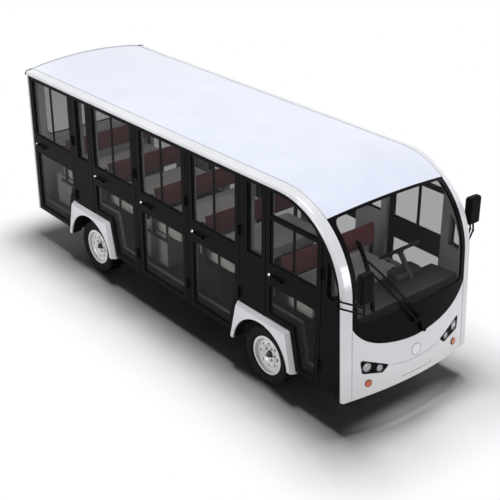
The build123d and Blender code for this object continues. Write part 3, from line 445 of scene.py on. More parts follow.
def turned(profile, place, axis, steps=48):
    # (along, radius) points walked out from one vertex, then spun about the axis through the place;
    # an end that stands off the axis is closed, by a flat base or by joining the ring
    first, last = profile[0], profile[-1]
    if first[1] > 0 and last[1] > 0:
        profile = profile if first == last else profile + [first]
    elif first[1] > 0:
        profile = [(first[0], 0)] + profile
    elif last[1] > 0:
        profile = profile + [(last[0], 0)]
    axis = Vector(axis).normalized()
    across = axis.orthogonal().normalized()
    points = [Vector(place) + axis * u + across * r for u, r in profile]
    bpy.ops.object.select_all(action="DESELECT")
    bpy.ops.mesh.primitive_plane_add(size=0.001, location=points[0])
    obj = bpy.context.object
    bpy.ops.object.transform_apply(location=True)
    bpy.ops.object.mode_set(mode="EDIT")
    bpy.ops.mesh.select_mode(type="VERT")
    bpy.ops.mesh.select_all(action="SELECT")
    bpy.ops.mesh.merge(type="CENTER")
    for a, b in zip(points, points[1:]):
        bpy.ops.mesh.extrude_vertices_move(TRANSFORM_OT_translate={"value": b - a})
    bpy.ops.mesh.select_all(action="SELECT")
    bpy.ops.mesh.spin(steps=steps, angle=2 * pi, center=place, axis=axis)
    leaveEdit()
    tidyMesh(obj)
    return obj


def box(low, high, bevelMm=2, segments=2):
    # a cube set between two corners with its edges eased
    bpy.ops.object.select_all(action="DESELECT")
    low, high = Vector(low), Vector(high)
    bpy.ops.mesh.primitive_cube_add(size=1, location=(low + high) / 2, scale=high - low)
    obj = bpy.context.object
    bpy.ops.object.transform_apply(location=True, rotation=True, scale=True)
    bpy.ops.object.mode_set(mode="EDIT")
    bpy.ops.mesh.select_all(action="SELECT")
    bpy.ops.mesh.bevel(offset=bevelMm / 1000, segments=segments, affect="EDGES")
    leaveEdit()
    bpy.ops.object.shade_smooth_by_angle(angle=radians(35))
    return obj


def tube(points, radius, closed=False, sides=3):
    # round bar along points
    curve = bpy.data.curves.new("bar", "CURVE")
    curve.dimensions = "3D"
    curve.bevel_depth = radius
    curve.bevel_resolution = sides
    curve.use_fill_caps = True
    spline = curve.splines.new("POLY")
    spline.points.add(len(points) - 1)
    for point, co in zip(spline.points, points):
        point.co = (*co, 1)
    spline.use_cyclic_u = closed
    obj = bpy.data.objects.new("bar", curve)
    bpy.context.collection.objects.link(obj)
    active(obj)
    bpy.ops.object.convert(target="MESH")
    tidyMesh(bpy.context.object, smoothAngle=50)
    return bpy.context.object


def rounded(corners, radius, steps=5):
    # closed route through corners, each turned on an arc
    out = []
    count = len(corners)
    for i, corner in enumerate(corners):
        corner = Vector(corner)
        back = (Vector(corners[i - 1]) - corner).normalized()
        ahead = (Vector(corners[(i + 1) % count]) - corner).normalized()
        for k in range(steps + 1):
            t = k / steps
            out.append(corner + back * radius * (1 - t) ** 2 + ahead * radius * t ** 2)
    return out


# where things are, from the record's joints
joints = {j["name"]: j for j in frame["record"]["behaviour"]["joints"]}
wheels = [(end, side, Vector(joints[f"wheel_{end}_{side}_spin"]["pos_m"]))
          for end in ("front", "rear") for side in ("right", "left")]
doorNames = ["front", "second", "third", "fourth", "rear"]
sideSign = {"right": -1, "left": 1}
cornerSigns = ((-1, -1), (1, -1), (1, 1), (-1, 1))

# tyres with tread: each band of blocks is (from, to) across, with a groove every so many steps round
tyre = {"steps": 96, "groove": 0.0056, "grooveEdge": 0.0012, "treadFrom": 0.262,
        "shoulder": (0.044, 0.08, 3), "rib": (0.013, 0.036, 4),
        "profile": [(0.0600, 0.1663), (0.0602, 0.186), (0.0655, 0.1905), (0.0745, 0.1925), (0.0765, 0.197),
                    (0.0790, 0.206), (0.0815, 0.214), (0.0820, 0.228), (0.0808, 0.246), (0.0765, 0.264),
                    (0.0700, 0.2740), (0.0585, 0.2792), (0.0440, 0.2803), (0.0435, 0.2735), (0.0365, 0.2735),
                    (0.0360, 0.2806), (0.0125, 0.2810), (0.0120, 0.2740), (0.0050, 0.2740), (0.0045, 0.2810)]}


def makeTyre():
    wholeProfile = tyre["profile"] + [(-u, r) for u, r in reversed(tyre["profile"])]
    obj = turned(wholeProfile, (0, 0, 0), (0, 1, 0), tyre["steps"])

    def grooved(centre, normal):
        flat = Vector((centre.x, centre.z))
        angle = flat.angle_signed(Vector((1, 0))) % (2 * pi)
        step = int(angle / (2 * pi) * tyre["steps"])
        shift = 0 if centre.y > 0 else 1
        low, high, every = tyre["shoulder"]
        onShoulder = low < abs(centre.y) < high and step % every == shift
        low, high, every = tyre["rib"]
        onRib = low < abs(centre.y) < high and step % every == shift * 2
        return flat.length > tyre["treadFrom"] and (onShoulder or onRib)

    pick(obj, grooved)
    bpy.ops.mesh.inset(thickness=tyre["grooveEdge"], depth=-tyre["groove"], use_individual=False)
    leaveEdit()
    tidyMesh(obj, 0.02, 28)
    return obj


# hub caps (hollow over the stubs), brake drums, nuts and valves
hub = {"nuts": 5, "circle": 0.058, "face": 0.0265, "capGap": 0.0002, "valveOut": 0.047, "valveAt": 0.132,
       "cap": [(0.031, 0), (0.031, 0.016), (0.026, 0.024), (0.010, 0.028), (0.004, 0.034), (0, 0.034),
               (0, 0.0255), (0.010, 0.0255), (0.022, 0.0215), (0.0285, 0.0145), (0.0285, 0)],
       "nut": [(0.013, 0), (0.0145, 0.005), (0.012, 0.011), (0.002, 0.011), (0.002, 0.0135), (0, 0.0135)],
       "valve": [(-0.012, 0.0045), (0.012, 0.0045), (0.012, 0.0055), (0.022, 0.0055), (0.024, 0.004), (0.024, 0)],
       "drum": [(-0.055, 0.047), (-0.055, 0.112), (-0.052, 0.118), (-0.046, 0.118), (-0.044, 0.125),
                (-0.036, 0.125), (-0.034, 0.118), (-0.012, 0.118), (0.004, 0.122), (0.011, 0.118), (0.011, 0.047)]}
firstTyre = makeTyre()
for end, side, centre in wheels:
    sign = sideSign[side]
    body = f"wheel_{end}_{side}"
    out = Vector((0, sign, 0))
    face = centre + out * hub["face"]
    turn = Matrix.Rotation(0 if sign > 0 else pi, 4, "Z")
    tread = settle(copied(firstTyre, Matrix.Translation(centre) @ turn), f"tread_{end}_{side}", "tyre", body)
    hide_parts(f"tyre_{end}_{side}")
    cap = turned(hub["cap"], centre + out * (hub["face"] + hub["capGap"]), out, 32)
    settle(cap, f"hub_cap_{end}_{side}", "lampBlack", body)
    settle(turned(hub["drum"], centre, out, 48), f"brake_drum_{end}_{side}", "chassis", body)
    nuts = []
    for i in range(hub["nuts"]):
        angle = 2 * pi * i / hub["nuts"]
        nuts.append(turned(hub["nut"], face + Vector((cos(angle), 0, sin(angle))) * hub["circle"], out, 6))
    nuts.append(turned(hub["valve"], centre + out * hub["valveOut"] + Vector((hub["valveAt"], 0, 0)), out, 12))
    settle(joined(nuts), f"wheel_nuts_{end}_{side}", "zinc", body)
bpy.data.objects.remove(firstTyre)
print("wheels dressed")


# bench cushions and backs, blown up as covers over foam
seats = {"rows": (3.88, 2.84, 2.03, 1.22, 0.40), "rear": -2.58, "halfWidth": 0.5595, "boardTop": 0.7655,
         "voxel": 0.0065, "seamCorner": 0.035, "pinEvery": 0.006, "pinReach": 0.0085, "steps": 20, "quality": 4,
         "pressure": 4.0}
cushion = {"size": (0.524, 1.100, 0.106), "middle": (0.135, 0.827), "bevel": 0.026, "cap": 0.024,
           "seamIn": 0.007, "piping": 0.0042}
pad = {"size": (0.034, 1.106, 0.205), "foot": (-0.02, 0.990), "middle": (0.0225, 0.1075), "lean": 5,
       "bevel": 0.013, "cap": 0.009, "seamIn": 0.004, "piping": 0.0032}


def seamRoute(settings, faceAxis, sign):
    # line where the cover's face meets its side, a little inside the corner
    u, v = [i for i in range(3) if i != faceAxis]
    reach = [s / 2 - settings["seamIn"] for s in settings["size"]]
    corners = []
    for a, b in cornerSigns:
        co = [0, 0, 0]
        co[u], co[v], co[faceAxis] = a * reach[u], b * reach[v], sign * reach[faceAxis]
        corners.append(co)
    return rounded(corners, seats["seamCorner"])


def nearSeams(obj, seams):
    # the points of a cover that its seams hold
    dense = []
    for route in seams:
        for a, b in zip(route, route[1:] + route[:1]):
            count = max(1, int((b - a).length / seats["pinEvery"]))
            dense += [a.lerp(b, k / count) for k in range(count)]
    tree = kdtree.KDTree(len(dense))
    for i, p in enumerate(dense):
        tree.insert(p, i)
    tree.balance()
    return [v.index for v in obj.data.vertices if tree.find(v.co)[2] < seats["pinReach"]]


def puffed(settings, seams):
    # cover started a little small, held at its seams and blown out by its filling
    obj = box([-s / 2 for s in settings["size"]], [s / 2 for s in settings["size"]], settings["bevel"] * 1000, 4)
    obj.data.remesh_voxel_size = seats["voxel"]
    active(obj)
    bpy.ops.object.voxel_remesh()
    rest = [v.co.copy() for v in obj.data.vertices]
    obj.vertex_groups.new(name="seam").add(nearSeams(obj, seams), 1.0, "REPLACE")
    mod = obj.modifiers.new("cover", "CLOTH")
    mod.settings.vertex_group_mass = "seam"
    mod.settings.use_pressure = True
    mod.settings.uniform_pressure_force = seats["pressure"]
    mod.settings.effector_weights.gravity = 0
    mod.settings.quality = seats["quality"]
    for step in range(1, seats["steps"] + 1):
        scene.frame_set(step)
    active(obj)
    bpy.ops.object.modifier_apply(modifier=mod.name)
    scene.frame_set(1)
    for vertex, start in zip(obj.data.vertices, rest):
        move = vertex.co - start
        if move.length > settings["cap"]:
            vertex.co = start + move * (settings["cap"] / move.length)
    active(obj)
    bpy.ops.object.shade_smooth()
    return obj


cushionSeams = [seamRoute(cushion, 2, 1), seamRoute(cushion, 2, -1)]
padSeams = [seamRoute(pad, 0, 1)]
firstCushion = puffed(cushion, cushionSeams)
firstPad = puffed(pad, padSeams)
cushionPiping = joined([tube(route, cushion["piping"], True, 2) for route in cushionSeams])
padPiping = joined([tube(route, pad["piping"], True, 2) for route in padSeams])
for vertex in firstCushion.data.vertices:
    vertex.co.z = max(vertex.co.z, seats["boardTop"] - cushion["middle"][1])   # flat on the bench board
for obj in (firstCushion, firstPad):
    for vertex in obj.data.vertices:   # flat against the end brackets
        vertex.co.y = min(max(vertex.co.y, -seats["halfWidth"]), seats["halfWidth"])
strap = {"x": 0.192, "half": 0.011, "low": 0.704, "high": 0.888, "face": 0.5602, "thick": 0.0075,
         "rivets": (0.718, 0.866), "sunk": 0.0002,
         "rivet": [(0, 0.007), (0.002, 0.007), (0.0035, 0.0055), (0.0035, 0.003), (0.002, 0.0025), (0.002, 0)]}
for row, station in enumerate(seats["rows"], 1):
    x = seats["rear"] + station
    spot = Matrix.Translation((x + cushion["middle"][0], 0, cushion["middle"][1]))
    cover = settle(copied(firstCushion, spot), f"cushion_row_{row}", "cream", "body")
    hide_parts("seat_cushions")
    settle(copied(cushionPiping, spot), f"cushion_piping_row_{row}", "cream", "body")
    spot = Matrix.Translation((x + pad["foot"][0], 0, pad["foot"][1]))
    spot = spot @ Matrix.Rotation(-radians(pad["lean"]), 4, "Y")
    spot = spot @ Matrix.Translation((pad["middle"][0], 0, pad["middle"][1]))
    cover = settle(copied(firstPad, spot), f"back_row_{row}", "maroon", "body")
    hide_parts("seat_backs")
    settle(copied(padPiping, spot), f"back_piping_row_{row}", "maroon", "body")
    straps = []
    for sign in (-1, 1):
        inner, outer = sorted((sign * strap["face"], sign * (strap["face"] + strap["thick"])))
        straps.append(box((x + strap["x"] - strap["half"], inner, strap["low"]),
                          (x + strap["x"] + strap["half"], outer, strap["high"]), 2.5, 2))
        for z in strap["rivets"]:
            place = (x + strap["x"], sign * (strap["face"] + strap["thick"] - strap["sunk"]), z)
            straps.append(turned(strap["rivet"], place, (0, sign, 0), 16))
    settle(joined(straps), f"cushion_straps_row_{row}", "powder", "body")
for obj in (firstCushion, firstPad, cushionPiping, padPiping):
    bpy.data.objects.remove(obj)
print("benches covered")


# rubber glazing beads, cut from the faces of the panes themselves
bead = {"width": 0.011, "proud": 0.0022, "under": 0.0005, "shortest": 0.001, "edge": 0.0009, "facing": 0.9}


def glazingBead(node, keep, name, body):
    thick = bead["proud"] + bead["under"]
    obj = copied(nodes[node], Matrix())
    obj.parent = None
    tidyMesh(obj)
    pick(obj, lambda centre, normal: not keep(centre, normal))
    bpy.ops.mesh.delete(type="FACE")
    bpy.ops.mesh.select_all(action="SELECT")
    bpy.ops.mesh.dissolve_limited(angle_limit=radians(1.5))
    bpy.ops.mesh.remove_doubles(threshold=bead["shortest"])   # slivers would stop the bevel
    bpy.ops.mesh.inset(thickness=bead["width"], depth=0)
    bpy.ops.mesh.delete(type="FACE")
    leaveEdit()
    applyModifier(obj, "SOLIDIFY", thickness=thick, offset=1 - 2 * bead["under"] / thick)
    applyModifier(obj, "BEVEL", width=bead["edge"], segments=2, limit_method="ANGLE")
    tidyMesh(obj, 0.01, 40)
    return settle(obj, name, "seal", body)


for side, sign in sideSign.items():
    for door in doorNames:
        glazingBead(f"door_glass_{door}_{side}", lambda c, n: n.y * sign > bead["facing"],
                    f"bead_{door}_{side}", f"{door}_{side}_door")
glazingBead("fixed_windows", lambda c, n: abs(n.y) > bead["facing"] and n.y * c.y > 0, "bead_fixed_sides", "body")
glazingBead("fixed_windows", lambda c, n: n.x < -bead["facing"], "bead_rear_window", "body")
print("glass bedded")


def scaled(profile, radius):
    # (along, share of the radius) points at their size
    return [(u, radius * share) for u, share in profile]


# lock barrels, one behind each pull handle
lock = {"behind": 0.046, "z": 1.130, "face": 0.745, "radius": 0.012,
        "profile": [(-0.001, 1.25), (0.002, 1.25), (0.0034, 1.1), (0.0036, 1), (0.0062, 0.9), (0.0066, 0.75),
                    (0.0054, 0.25), (0.0054, 0)]}
firstLock = turned(scaled(lock["profile"], lock["radius"]), (0, 0, 0), (0, 1, 0), 24)
for side, sign in sideSign.items():
    for door in doorNames:
        low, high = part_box(f"door_{door}_{side}")
        spot = Matrix.Translation((low[0] + lock["behind"], sign * lock["face"], lock["z"]))
        spot = spot @ Matrix.Rotation(0 if sign > 0 else pi, 4, "Z")
        settle(copied(firstLock, spot), f"lock_{door}_{side}", "chrome", f"{door}_{side}_door")
bpy.data.objects.remove(firstLock)


# mirror glass in a lipped recess on the rear of each head
mirror = {"heads": {"right": (2.545, -0.82, 1.53), "left": (2.174, 0.82, 1.554)}, "halfY": 0.056, "halfZ": 0.112,
          "back": 0.035, "lipOut": 0.0012, "lip": 0.0032, "corner": 0.02, "paneOut": 0.0016, "paneIn": 0.001}
for side, (x, y, z) in mirror["heads"].items():
    face = x - mirror["back"]
    halfY, halfZ = mirror["halfY"], mirror["halfZ"]
    corners = [(face - mirror["lipOut"], y + a * halfY, z + b * halfZ) for a, b in cornerSigns]
    settle(tube(rounded(corners, mirror["corner"]), mirror["lip"], True, 2), f"mirror_lip_{side}", "seal", "body")
    pane = box((face - mirror["paneOut"], y - halfY, z - halfZ), (face + mirror["paneIn"], y + halfY, z + halfZ),
               0.8, 2)
    settle(pane, f"mirror_pane_{side}", "mirror", "body")
print("mirrors glazed")


def touch(names, origin, direction):
    # nearest place where a straight look meets the named solids
    best = None
    for name in names:
        hit, place, normal, index = nodes[name].ray_cast(Vector(origin), Vector(direction))
        if hit and (best is None or (place - Vector(origin)).length < (best[0] - Vector(origin)).length):
            best = (place, normal)
    return best


# front lamps: bright bowl and ball lens in each projector opening, bezel ring at its edge
aheadX = 3.5   # looks at the nose start in front of it
frontLamp = {"projectors": [(0.521, 0.606, 0.040), (0.398, 0.562, 0.031)], "turnLamp": (0.513, 0.457),
             "bowl": [(-0.0195, 0.66), (-0.0165, 0.72), (-0.0085, 0.92), (-0.0075, 0.95), (-0.0095, 0.95),
                      (-0.0195, 0.70)],
             "ball": [(-0.0195, 0.62), (-0.0125, 0.60), (-0.0085, 0.46), (-0.0065, 0.24), (-0.0060, 0)],
             "rim": [(-0.004, 1.01), (0.0012, 1.0), (0.0024, 1.03), (0.0020, 1.08), (-0.004, 1.10)],
             "turnRing": [(-0.012, 0.0305), (-0.0078, 0.0345), (-0.0065, 0.0325), (-0.0065, 0.0305)]}
for side, sign in sideSign.items():
    bowls, balls, rims = [], [], []
    for y, z, radius in frontLamp["projectors"]:
        place, normal = touch(["headlamp_lenses"], (aheadX, y * sign, z), (-1, 0, 0))
        bowls.append(turned(scaled(frontLamp["bowl"], radius), place, normal, 40))
        balls.append(turned(scaled(frontLamp["ball"], radius), place, normal, 40))
        rims.append(turned(scaled(frontLamp["rim"], radius), place, normal, 48))
    settle(joined(bowls), f"lamp_bowl_{side}", "zinc", "body")
    settle(joined(balls), f"lamp_ball_{side}", "lens", "body")
    settle(joined(rims), f"lamp_rim_{side}", "lampBlack", "body")
    y, z = frontLamp["turnLamp"]
    place, normal = touch(["turn_lamps"], (aheadX, sign * y, z), (-1, 0, 0))
    settle(turned(frontLamp["turnRing"], place, normal, 48), f"turn_lamp_ring_{side}", "seal", "body")


# blank round boss in the middle of the nose
boss = {"z": 0.600, "radius": 0.054,
        "disc": [(-0.002, 0.9), (0.0026, 0.9), (0.0034, 0.84), (0.0040, 0.5), (0.0042, 0)],
        "ring": [(-0.002, 1), (0.0024, 1), (0.0036, 0.97), (0.0034, 0.92), (-0.002, 0.91)]}
place, normal = touch(["front_nose"], (aheadX, 0, boss["z"]), (-1, 0, 0))
settle(turned(scaled(boss["disc"], boss["radius"]), place, normal, 48), "nose_boss", "enamel", "body")
settle(turned(scaled(boss["ring"], boss["radius"]), place, normal, 48), "nose_boss_ring", "zinc", "body")
print("lamps fitted")


# sealant along the roof's joints, a pale lip over its rear edge and black ones over the bands' rear ends
aboveZ = 3.0   # looks at the roof start over it
roofSkins = ["roof_panel", "side_bands", "screen_surround"]
bandEnd = ["side_bands", "rear_panel", "roof_panel"]
seam = {"y": 0.6605, "radius": 0.0034, "rear": -2.568, "centre": (1.485, 1.191), "outside": 1.6, "stop": 54.2,
        "flatSteps": 40, "bendSteps": 12}
lip = {"x": -2.5735, "radius": 0.0065, "bandFrom": 0.668, "bandTo": 0.736, "lowest": 1.872, "highest": 1.896,
       "halfSteps": 20, "bandSteps": 8, "dropSteps": 3, "besideY": 2.0}
for side, sign in sideSign.items():
    route = []
    for i in range(seam["flatSteps"]):
        x = seam["rear"] + (seam["centre"][0] - seam["rear"]) * i / seam["flatSteps"]
        route.append(touch(roofSkins, (x, sign * seam["y"], aboveZ), (0, 0, -1))[0])
    for i in range(seam["bendSteps"] + 1):
        angle = radians(90 + (seam["stop"] - 90) * i / seam["bendSteps"])
        way = Vector((cos(angle), 0, sin(angle)))
        start = Vector((seam["centre"][0], sign * seam["y"], seam["centre"][1])) + way * seam["outside"]
        route.append(touch(roofSkins, start, -way)[0])
    settle(tube(route, seam["radius"]), f"roof_sealant_{side}", "sealant", "body")
route = []
for i in range(2 * lip["halfSteps"] + 1):
    y = seam["y"] * (i / lip["halfSteps"] - 1)
    route.append(touch(roofSkins, (lip["x"], y, aboveZ), (0, 0, -1))[0])
settle(tube(route, lip["radius"]), "roof_rear_lip", "sealant", "body")
for side, sign in sideSign.items():
    route = []
    for i in range(lip["bandSteps"] + 1):
        y = lip["bandFrom"] + (lip["bandTo"] - lip["bandFrom"]) * i / lip["bandSteps"]
        route.append(touch(bandEnd, (lip["x"], sign * y, aboveZ), (0, 0, -1))[0])
    for i in range(lip["dropSteps"] + 1):
        z = lip["highest"] + (lip["lowest"] - lip["highest"]) * i / lip["dropSteps"]
        route.append(touch(bandEnd, (lip["x"], sign * lip["besideY"], z), (0, -sign, 0))[0])
    settle(tube(route, lip["radius"]), f"band_rear_lip_{side}", "seal", "body")
print("roof sealed")


# frames and bars over the rear lamps
tail = {"x": -2.5805, "y": 0.64, "half": 0.055, "low": 0.76, "high": 1.0, "corner": 0.024, "frame": 0.004,
        "bar": 0.0032, "bars": (0.36, 0.7)}
for side, sign in sideSign.items():
    corners = [(tail["x"], sign * tail["y"] + a * tail["half"], tail["high" if b > 0 else "low"])
               for a, b in cornerSigns]
    parts = [tube(rounded(corners, tail["corner"]), tail["frame"], True, 2)]
    for share in tail["bars"]:
        z = tail["low"] + (tail["high"] - tail["low"]) * share
        ends = [(tail["x"], sign * tail["y"] + a * tail["half"], z) for a in (-1, 1)]
        parts.append(tube(ends, tail["bar"], False, 2))
    settle(joined(parts), f"tail_lamp_frame_{side}", "lampBlack", "body")


# joint lines between the nose and the side bands
noseJoint = {"y": 0.6602, "low": 0.345, "high": 0.965, "radius": 0.0028, "steps": 24}
for side, sign in sideSign.items():
    route = []
    for i in range(noseJoint["steps"] + 1):
        z = noseJoint["low"] + (noseJoint["high"] - noseJoint["low"]) * i / noseJoint["steps"]
        route.append(touch(["front_nose", "side_bands"], (aheadX, sign * noseJoint["y"], z), (-1, 0, 0))[0])
    settle(tube(route, noseJoint["radius"]), f"nose_joint_{side}", "sealant", "body")


# instrument dials, vents and switches on the dashboard
dash = {"lookFrom": 1.2, "dials": (0.265, 0.395), "dialZ": 1.0,
        "dialRim": [(-0.002, 0.047), (0.004, 0.047), (0.007, 0.044), (0.007, 0.041), (0.002, 0.040)],
        "dialFace": [(0.0005, 0.041), (0.0024, 0.040), (0.0030, 0.022), (0.0034, 0.004), (0.0060, 0.0035),
                     (0.0060, 0)],
        "vents": (-0.52, -0.14, 0.10, 0.56), "ventZ": 0.938, "ventHalf": (0.052, 0.024), "ventCorner": 0.012,
        "ventFrame": 0.0035, "frameOut": 0.001, "slats": 5, "slat": 0.0024, "slatOut": 0.0008, "slatReach": 0.96,
        "slatPitch": 2.6, "keys": 4, "keyFrom": -0.06, "keyStep": 0.03, "keyZ": 0.905,
        "keyLow": (-0.006, -0.011, -0.017), "keyHigh": (0.004, 0.011, 0.017)}
rims, faces = [], []
for y in dash["dials"]:
    place, normal = touch(["dashboard"], (dash["lookFrom"], y, dash["dialZ"]), (1, 0, 0))
    rims.append(turned(dash["dialRim"], place, normal, 40))
    faces.append(turned(dash["dialFace"], place, normal, 40))
settle(joined(rims), "dial_rims", "chrome", "body")
settle(joined(faces), "dial_faces", "dial", "body")
frames = []
for y in dash["vents"]:
    place, normal = touch(["dashboard"], (dash["lookFrom"], y, dash["ventZ"]), (1, 0, 0))
    up = normal.cross(Vector((0, 1, 0))).normalized()
    up = up if up.z > 0 else -up
    halfY, halfUp = dash["ventHalf"]
    corners = [place + normal * dash["frameOut"] + Vector((0, a * halfY, 0)) + up * b * halfUp
               for a, b in cornerSigns]
    frames.append(tube(rounded(corners, dash["ventCorner"]), dash["ventFrame"], True, 2))
    for k in range(dash["slats"]):
        rise = up * halfUp * (k - dash["slats"] // 2) / dash["slatPitch"]
        ends = [place + normal * dash["slatOut"] + rise + Vector((0, a * halfY * dash["slatReach"], 0))
                for a in (-1, 1)]
        frames.append(tube(ends, dash["slat"], False, 2))
settle(joined(frames), "dash_vents", "lampBlack", "body")
keys = []
for k in range(dash["keys"]):
    y = dash["keyFrom"] + dash["keyStep"] * k
    place, normal = touch(["dashboard"], (dash["lookFrom"], y, dash["keyZ"]), (1, 0, 0))
    keys.append(box(place + Vector(dash["keyLow"]), place + Vector(dash["keyHigh"]), 2.5, 2))
settle(joined(keys), "dash_switches", "lampBlack", "body")


# pedals hung under the dashboard
pedal = {"places": {"brake": 0.36, "drive": 0.24}, "plateX": (1.955, 1.967), "plateZ": (0.520, 0.590),
         "half": 0.038, "arm": [(1.967, 0.56), (2.02, 0.66), (2.05, 0.735)], "armRadius": 0.008,
         "ribs": 4, "ribX": 1.9545, "ribFrom": 0.530, "ribStep": 0.0165, "ribHalf": 0.033, "ribRadius": 0.0022}
for name, y in pedal["places"].items():
    (nearX, farX), (lowZ, highZ) = pedal["plateX"], pedal["plateZ"]
    parts = [box((nearX, y - pedal["half"], lowZ), (farX, y + pedal["half"], highZ), 3, 2),
             tube([(x, y, z) for x, z in pedal["arm"]], pedal["armRadius"])]
    for k in range(pedal["ribs"]):
        z = pedal["ribFrom"] + pedal["ribStep"] * k
        ends = [(pedal["ribX"], y + a * pedal["ribHalf"], z) for a in (-1, 1)]
        parts.append(tube(ends, pedal["ribRadius"], False, 2))
    settle(joined(parts), f"{name}_pedal", "seal", "body")


# horn pad over the hand wheel's hub
horn = {"lookFrom": 0.3, "profile": [(-0.002, 0.040), (0.006, 0.040), (0.011, 0.036), (0.014, 0.024), (0.015, 0)]}
turnAxis = Vector(joints["steering_wheel_turn"]["axis"]).normalized()
hubPlace = Vector(joints["steering_wheel_turn"]["pos_m"])
top = touch(["steering_wheel"], hubPlace + turnAxis * horn["lookFrom"], -turnAxis)[0]
settle(turned(horn["profile"], top, turnAxis, 40), "horn_pad", "dash", "hand_wheel")
print("cockpit fitted")


# spring clamps round the axles
clamp = {"bolt": 0.005, "gap": 0.034, "y": 0.330, "half": 0.031, "top": 0.356, "under": 0.2435, "bend": 0.012,
         "nut": [(-0.012, 0), (-0.012, 0.0095), (-0.004, 0.0095), (-0.003, 0.0085), (-0.003, 0)]}
clamps = []
for axleX in (wheels[0][2].x, wheels[2][2].x):
    for sign in (-1, 1):
        for shift in (-clamp["gap"], clamp["gap"]):
            inner, outer = sign * clamp["y"] - clamp["half"], sign * clamp["y"] + clamp["half"]
            x, top, under, bend = axleX + shift, clamp["top"], clamp["under"], clamp["bend"]
            bolt = [(x, inner, top), (x, inner, under + bend), (x, inner + bend, under),
                    (x, outer - bend, under), (x, outer, under + bend), (x, outer, top)]
            clamps.append(tube(bolt, clamp["bolt"]))
            for y in (inner, outer):
                clamps.append(turned(clamp["nut"], (x, y, top), (0, 0, 1), 6))
settle(joined(clamps), "spring_clamps", "zinc", "body")
print("springs clamped")


# camera, floor and light
camera = {"eye": (7.447, -5.960, 5.437), "target": (0.568, -0.292, 0.9), "lens": 78.8, "sensor": 36}


def aimed(place, aim):
    return (Vector(aim) - Vector(place)).to_track_quat("-Z", "Y").to_euler()


bpy.ops.object.camera_add(location=camera["eye"])
cam = bpy.context.object
cam.data.lens = camera["lens"]
cam.data.sensor_width = camera["sensor"]
cam.rotation_euler = aimed(camera["eye"], camera["target"])
scene.camera = cam

studio = {"floorSize": 90.0, "floorZ": -0.001, "floorTone": "#fbfbfc", "floorShade": "#eeeeef", "white": "#ffffff",
          "worldLight": 0.015, "footprint": (2.4, 0.75, 1.0), "fadeFrom": 0.1, "fadeTo": 0.95}
bpy.ops.mesh.primitive_plane_add(size=studio["floorSize"], location=(0, 0, studio["floorZ"]))
floor = bpy.context.object
floor.name = "studio_floor"
floor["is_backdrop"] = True

# name, place, aim, size and watts
lamps = [
    ("overhead", (0.3, 0.5, 14.0), (0.2, 0.3, 0), 4.5, 1480),
    ("side", (-0.5, -9.0, 3.0), (-0.2, 0, 0.6), 4.0, 400),
    ("bench", (-0.5, -9.0, 3.0), (-0.2, 0, 0.6), 4.0, 700),
    ("front", (10.5, 0.8, 1.9), (2.2, 0, 0.7), 3.5, 375),
    ("left", (0.5, 9.0, 3.0), (0, 0, 0.6), 4.0, 170),
    ("rear", (-10.5, 0.8, 3.0), (-2.2, 0, 0.8), 4.0, 170),
    ("cabin_front", (1.2, 0, 1.86), (1.2, 0, 0.5), 1.0, 2),
    ("cabin_middle", (-0.2, 0, 1.85), (-0.2, 0, 0.5), 1.0, 3.5),
    ("cabin_rear", (-1.6, 0, 1.83), (-1.6, 0, 0.5), 1.0, 3.5),
]
# the fill lamps reach the car alone, so that the ground keeps the one deep shadow of the overhead light
dressed = bpy.data.collections.new("car")
for obj in scene.objects:
    if obj.type == "MESH" and obj != floor:
        dressed.objects.link(obj)
# and one of them the bench cushions alone, which stand behind tinted glass
benches = bpy.data.collections.new("benches")
for obj in dressed.objects:
    if obj.name.startswith("cushion"):
        benches.objects.link(obj)
for name, place, aim, size, power in lamps:
    bpy.ops.object.light_add(type="AREA", location=place)
    lamp = bpy.context.object
    lamp.name = name
    lamp.data.size = size
    lamp.data.energy = power
    if name != "overhead":
        lamp.light_linking.receiver_collection = benches if name == "bench" else dressed
    lamp.rotation_euler = aimed(place, aim)


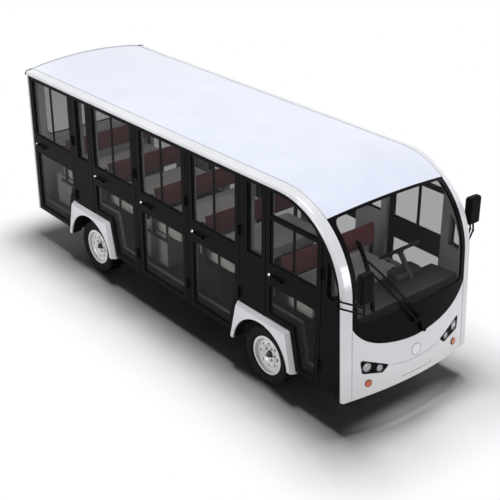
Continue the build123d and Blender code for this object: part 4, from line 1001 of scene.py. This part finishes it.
def seenRays(holder):
    # one for the rays that look at the background, straight or by way of metal and glass
    path = addNode(holder, "ShaderNodeLightPath")
    seen = addNode(holder, "ShaderNodeMath", {"operation": "MAXIMUM"},
                   {0: (path, "Is Camera Ray"), 1: (path, "Is Glossy Ray")})
    return addNode(holder, "ShaderNodeMath", {"operation": "MAXIMUM"},
                   {0: (seen, 0), 1: (path, "Is Transmission Ray")})


world = bpy.data.worlds.new("studio")
scene.world = world
world.use_nodes = True
world.node_tree.nodes.clear()
seen = seenRays(world)
level = addNode(world, "ShaderNodeMapRange", None,
                {"Value": (seen, 0), "To Min": studio["worldLight"], "To Max": 1.0})
sky = addNode(world, "ShaderNodeBackground", None, {"Color": linear(studio["white"]), "Strength": (level, 0)})
addNode(world, "ShaderNodeOutputWorld", None, {"Surface": (sky, 0)})

# pale paper floor: it keeps the car's shadow and goes to plain white away from it
mat, coord = startMaterial("studio_paper")
shade = speckled(mat, coord, studio["floorTone"], studio["floorShade"], 900)[0]
paper = addNode(mat, "ShaderNodeBsdfPrincipled", None,
                {"Base Color": (shade, 2), "Roughness": 0.32, "IOR": 1.25})
reach = addNode(mat, "ShaderNodeVectorMath", {"operation": "ABSOLUTE"}, {0: (coord, "Object")})
past = addNode(mat, "ShaderNodeVectorMath", {"operation": "SUBTRACT"},
               {0: (reach, 0), 1: studio["footprint"]})
outside = addNode(mat, "ShaderNodeVectorMath", {"operation": "MAXIMUM"}, {0: (past, 0), 1: (0, 0, 0)})
away = addNode(mat, "ShaderNodeVectorMath", {"operation": "LENGTH"}, {0: (outside, 0)})
fade = addNode(mat, "ShaderNodeMapRange", {"interpolation_type": "SMOOTHSTEP"},
               {"Value": (away, 1), "From Min": studio["fadeFrom"], "From Max": studio["fadeTo"]})
seen = seenRays(mat)
share = addNode(mat, "ShaderNodeMath", {"operation": "MULTIPLY"}, {0: (fade, 0), 1: (seen, 0)})
white = addNode(mat, "ShaderNodeEmission", None, {"Color": linear(studio["white"]), "Strength": 1.0})
both = addNode(mat, "ShaderNodeMixShader", None, {0: (share, 0), 1: (paper, 0), 2: (white, 0)})
addNode(mat, "ShaderNodeOutputMaterial", None, {"Surface": (both, 0)})
floor.data.materials.append(mat)
print("studio set")

size = {"cad": [list(v) for v in cadBox], "visual": [list(v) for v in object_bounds()]}
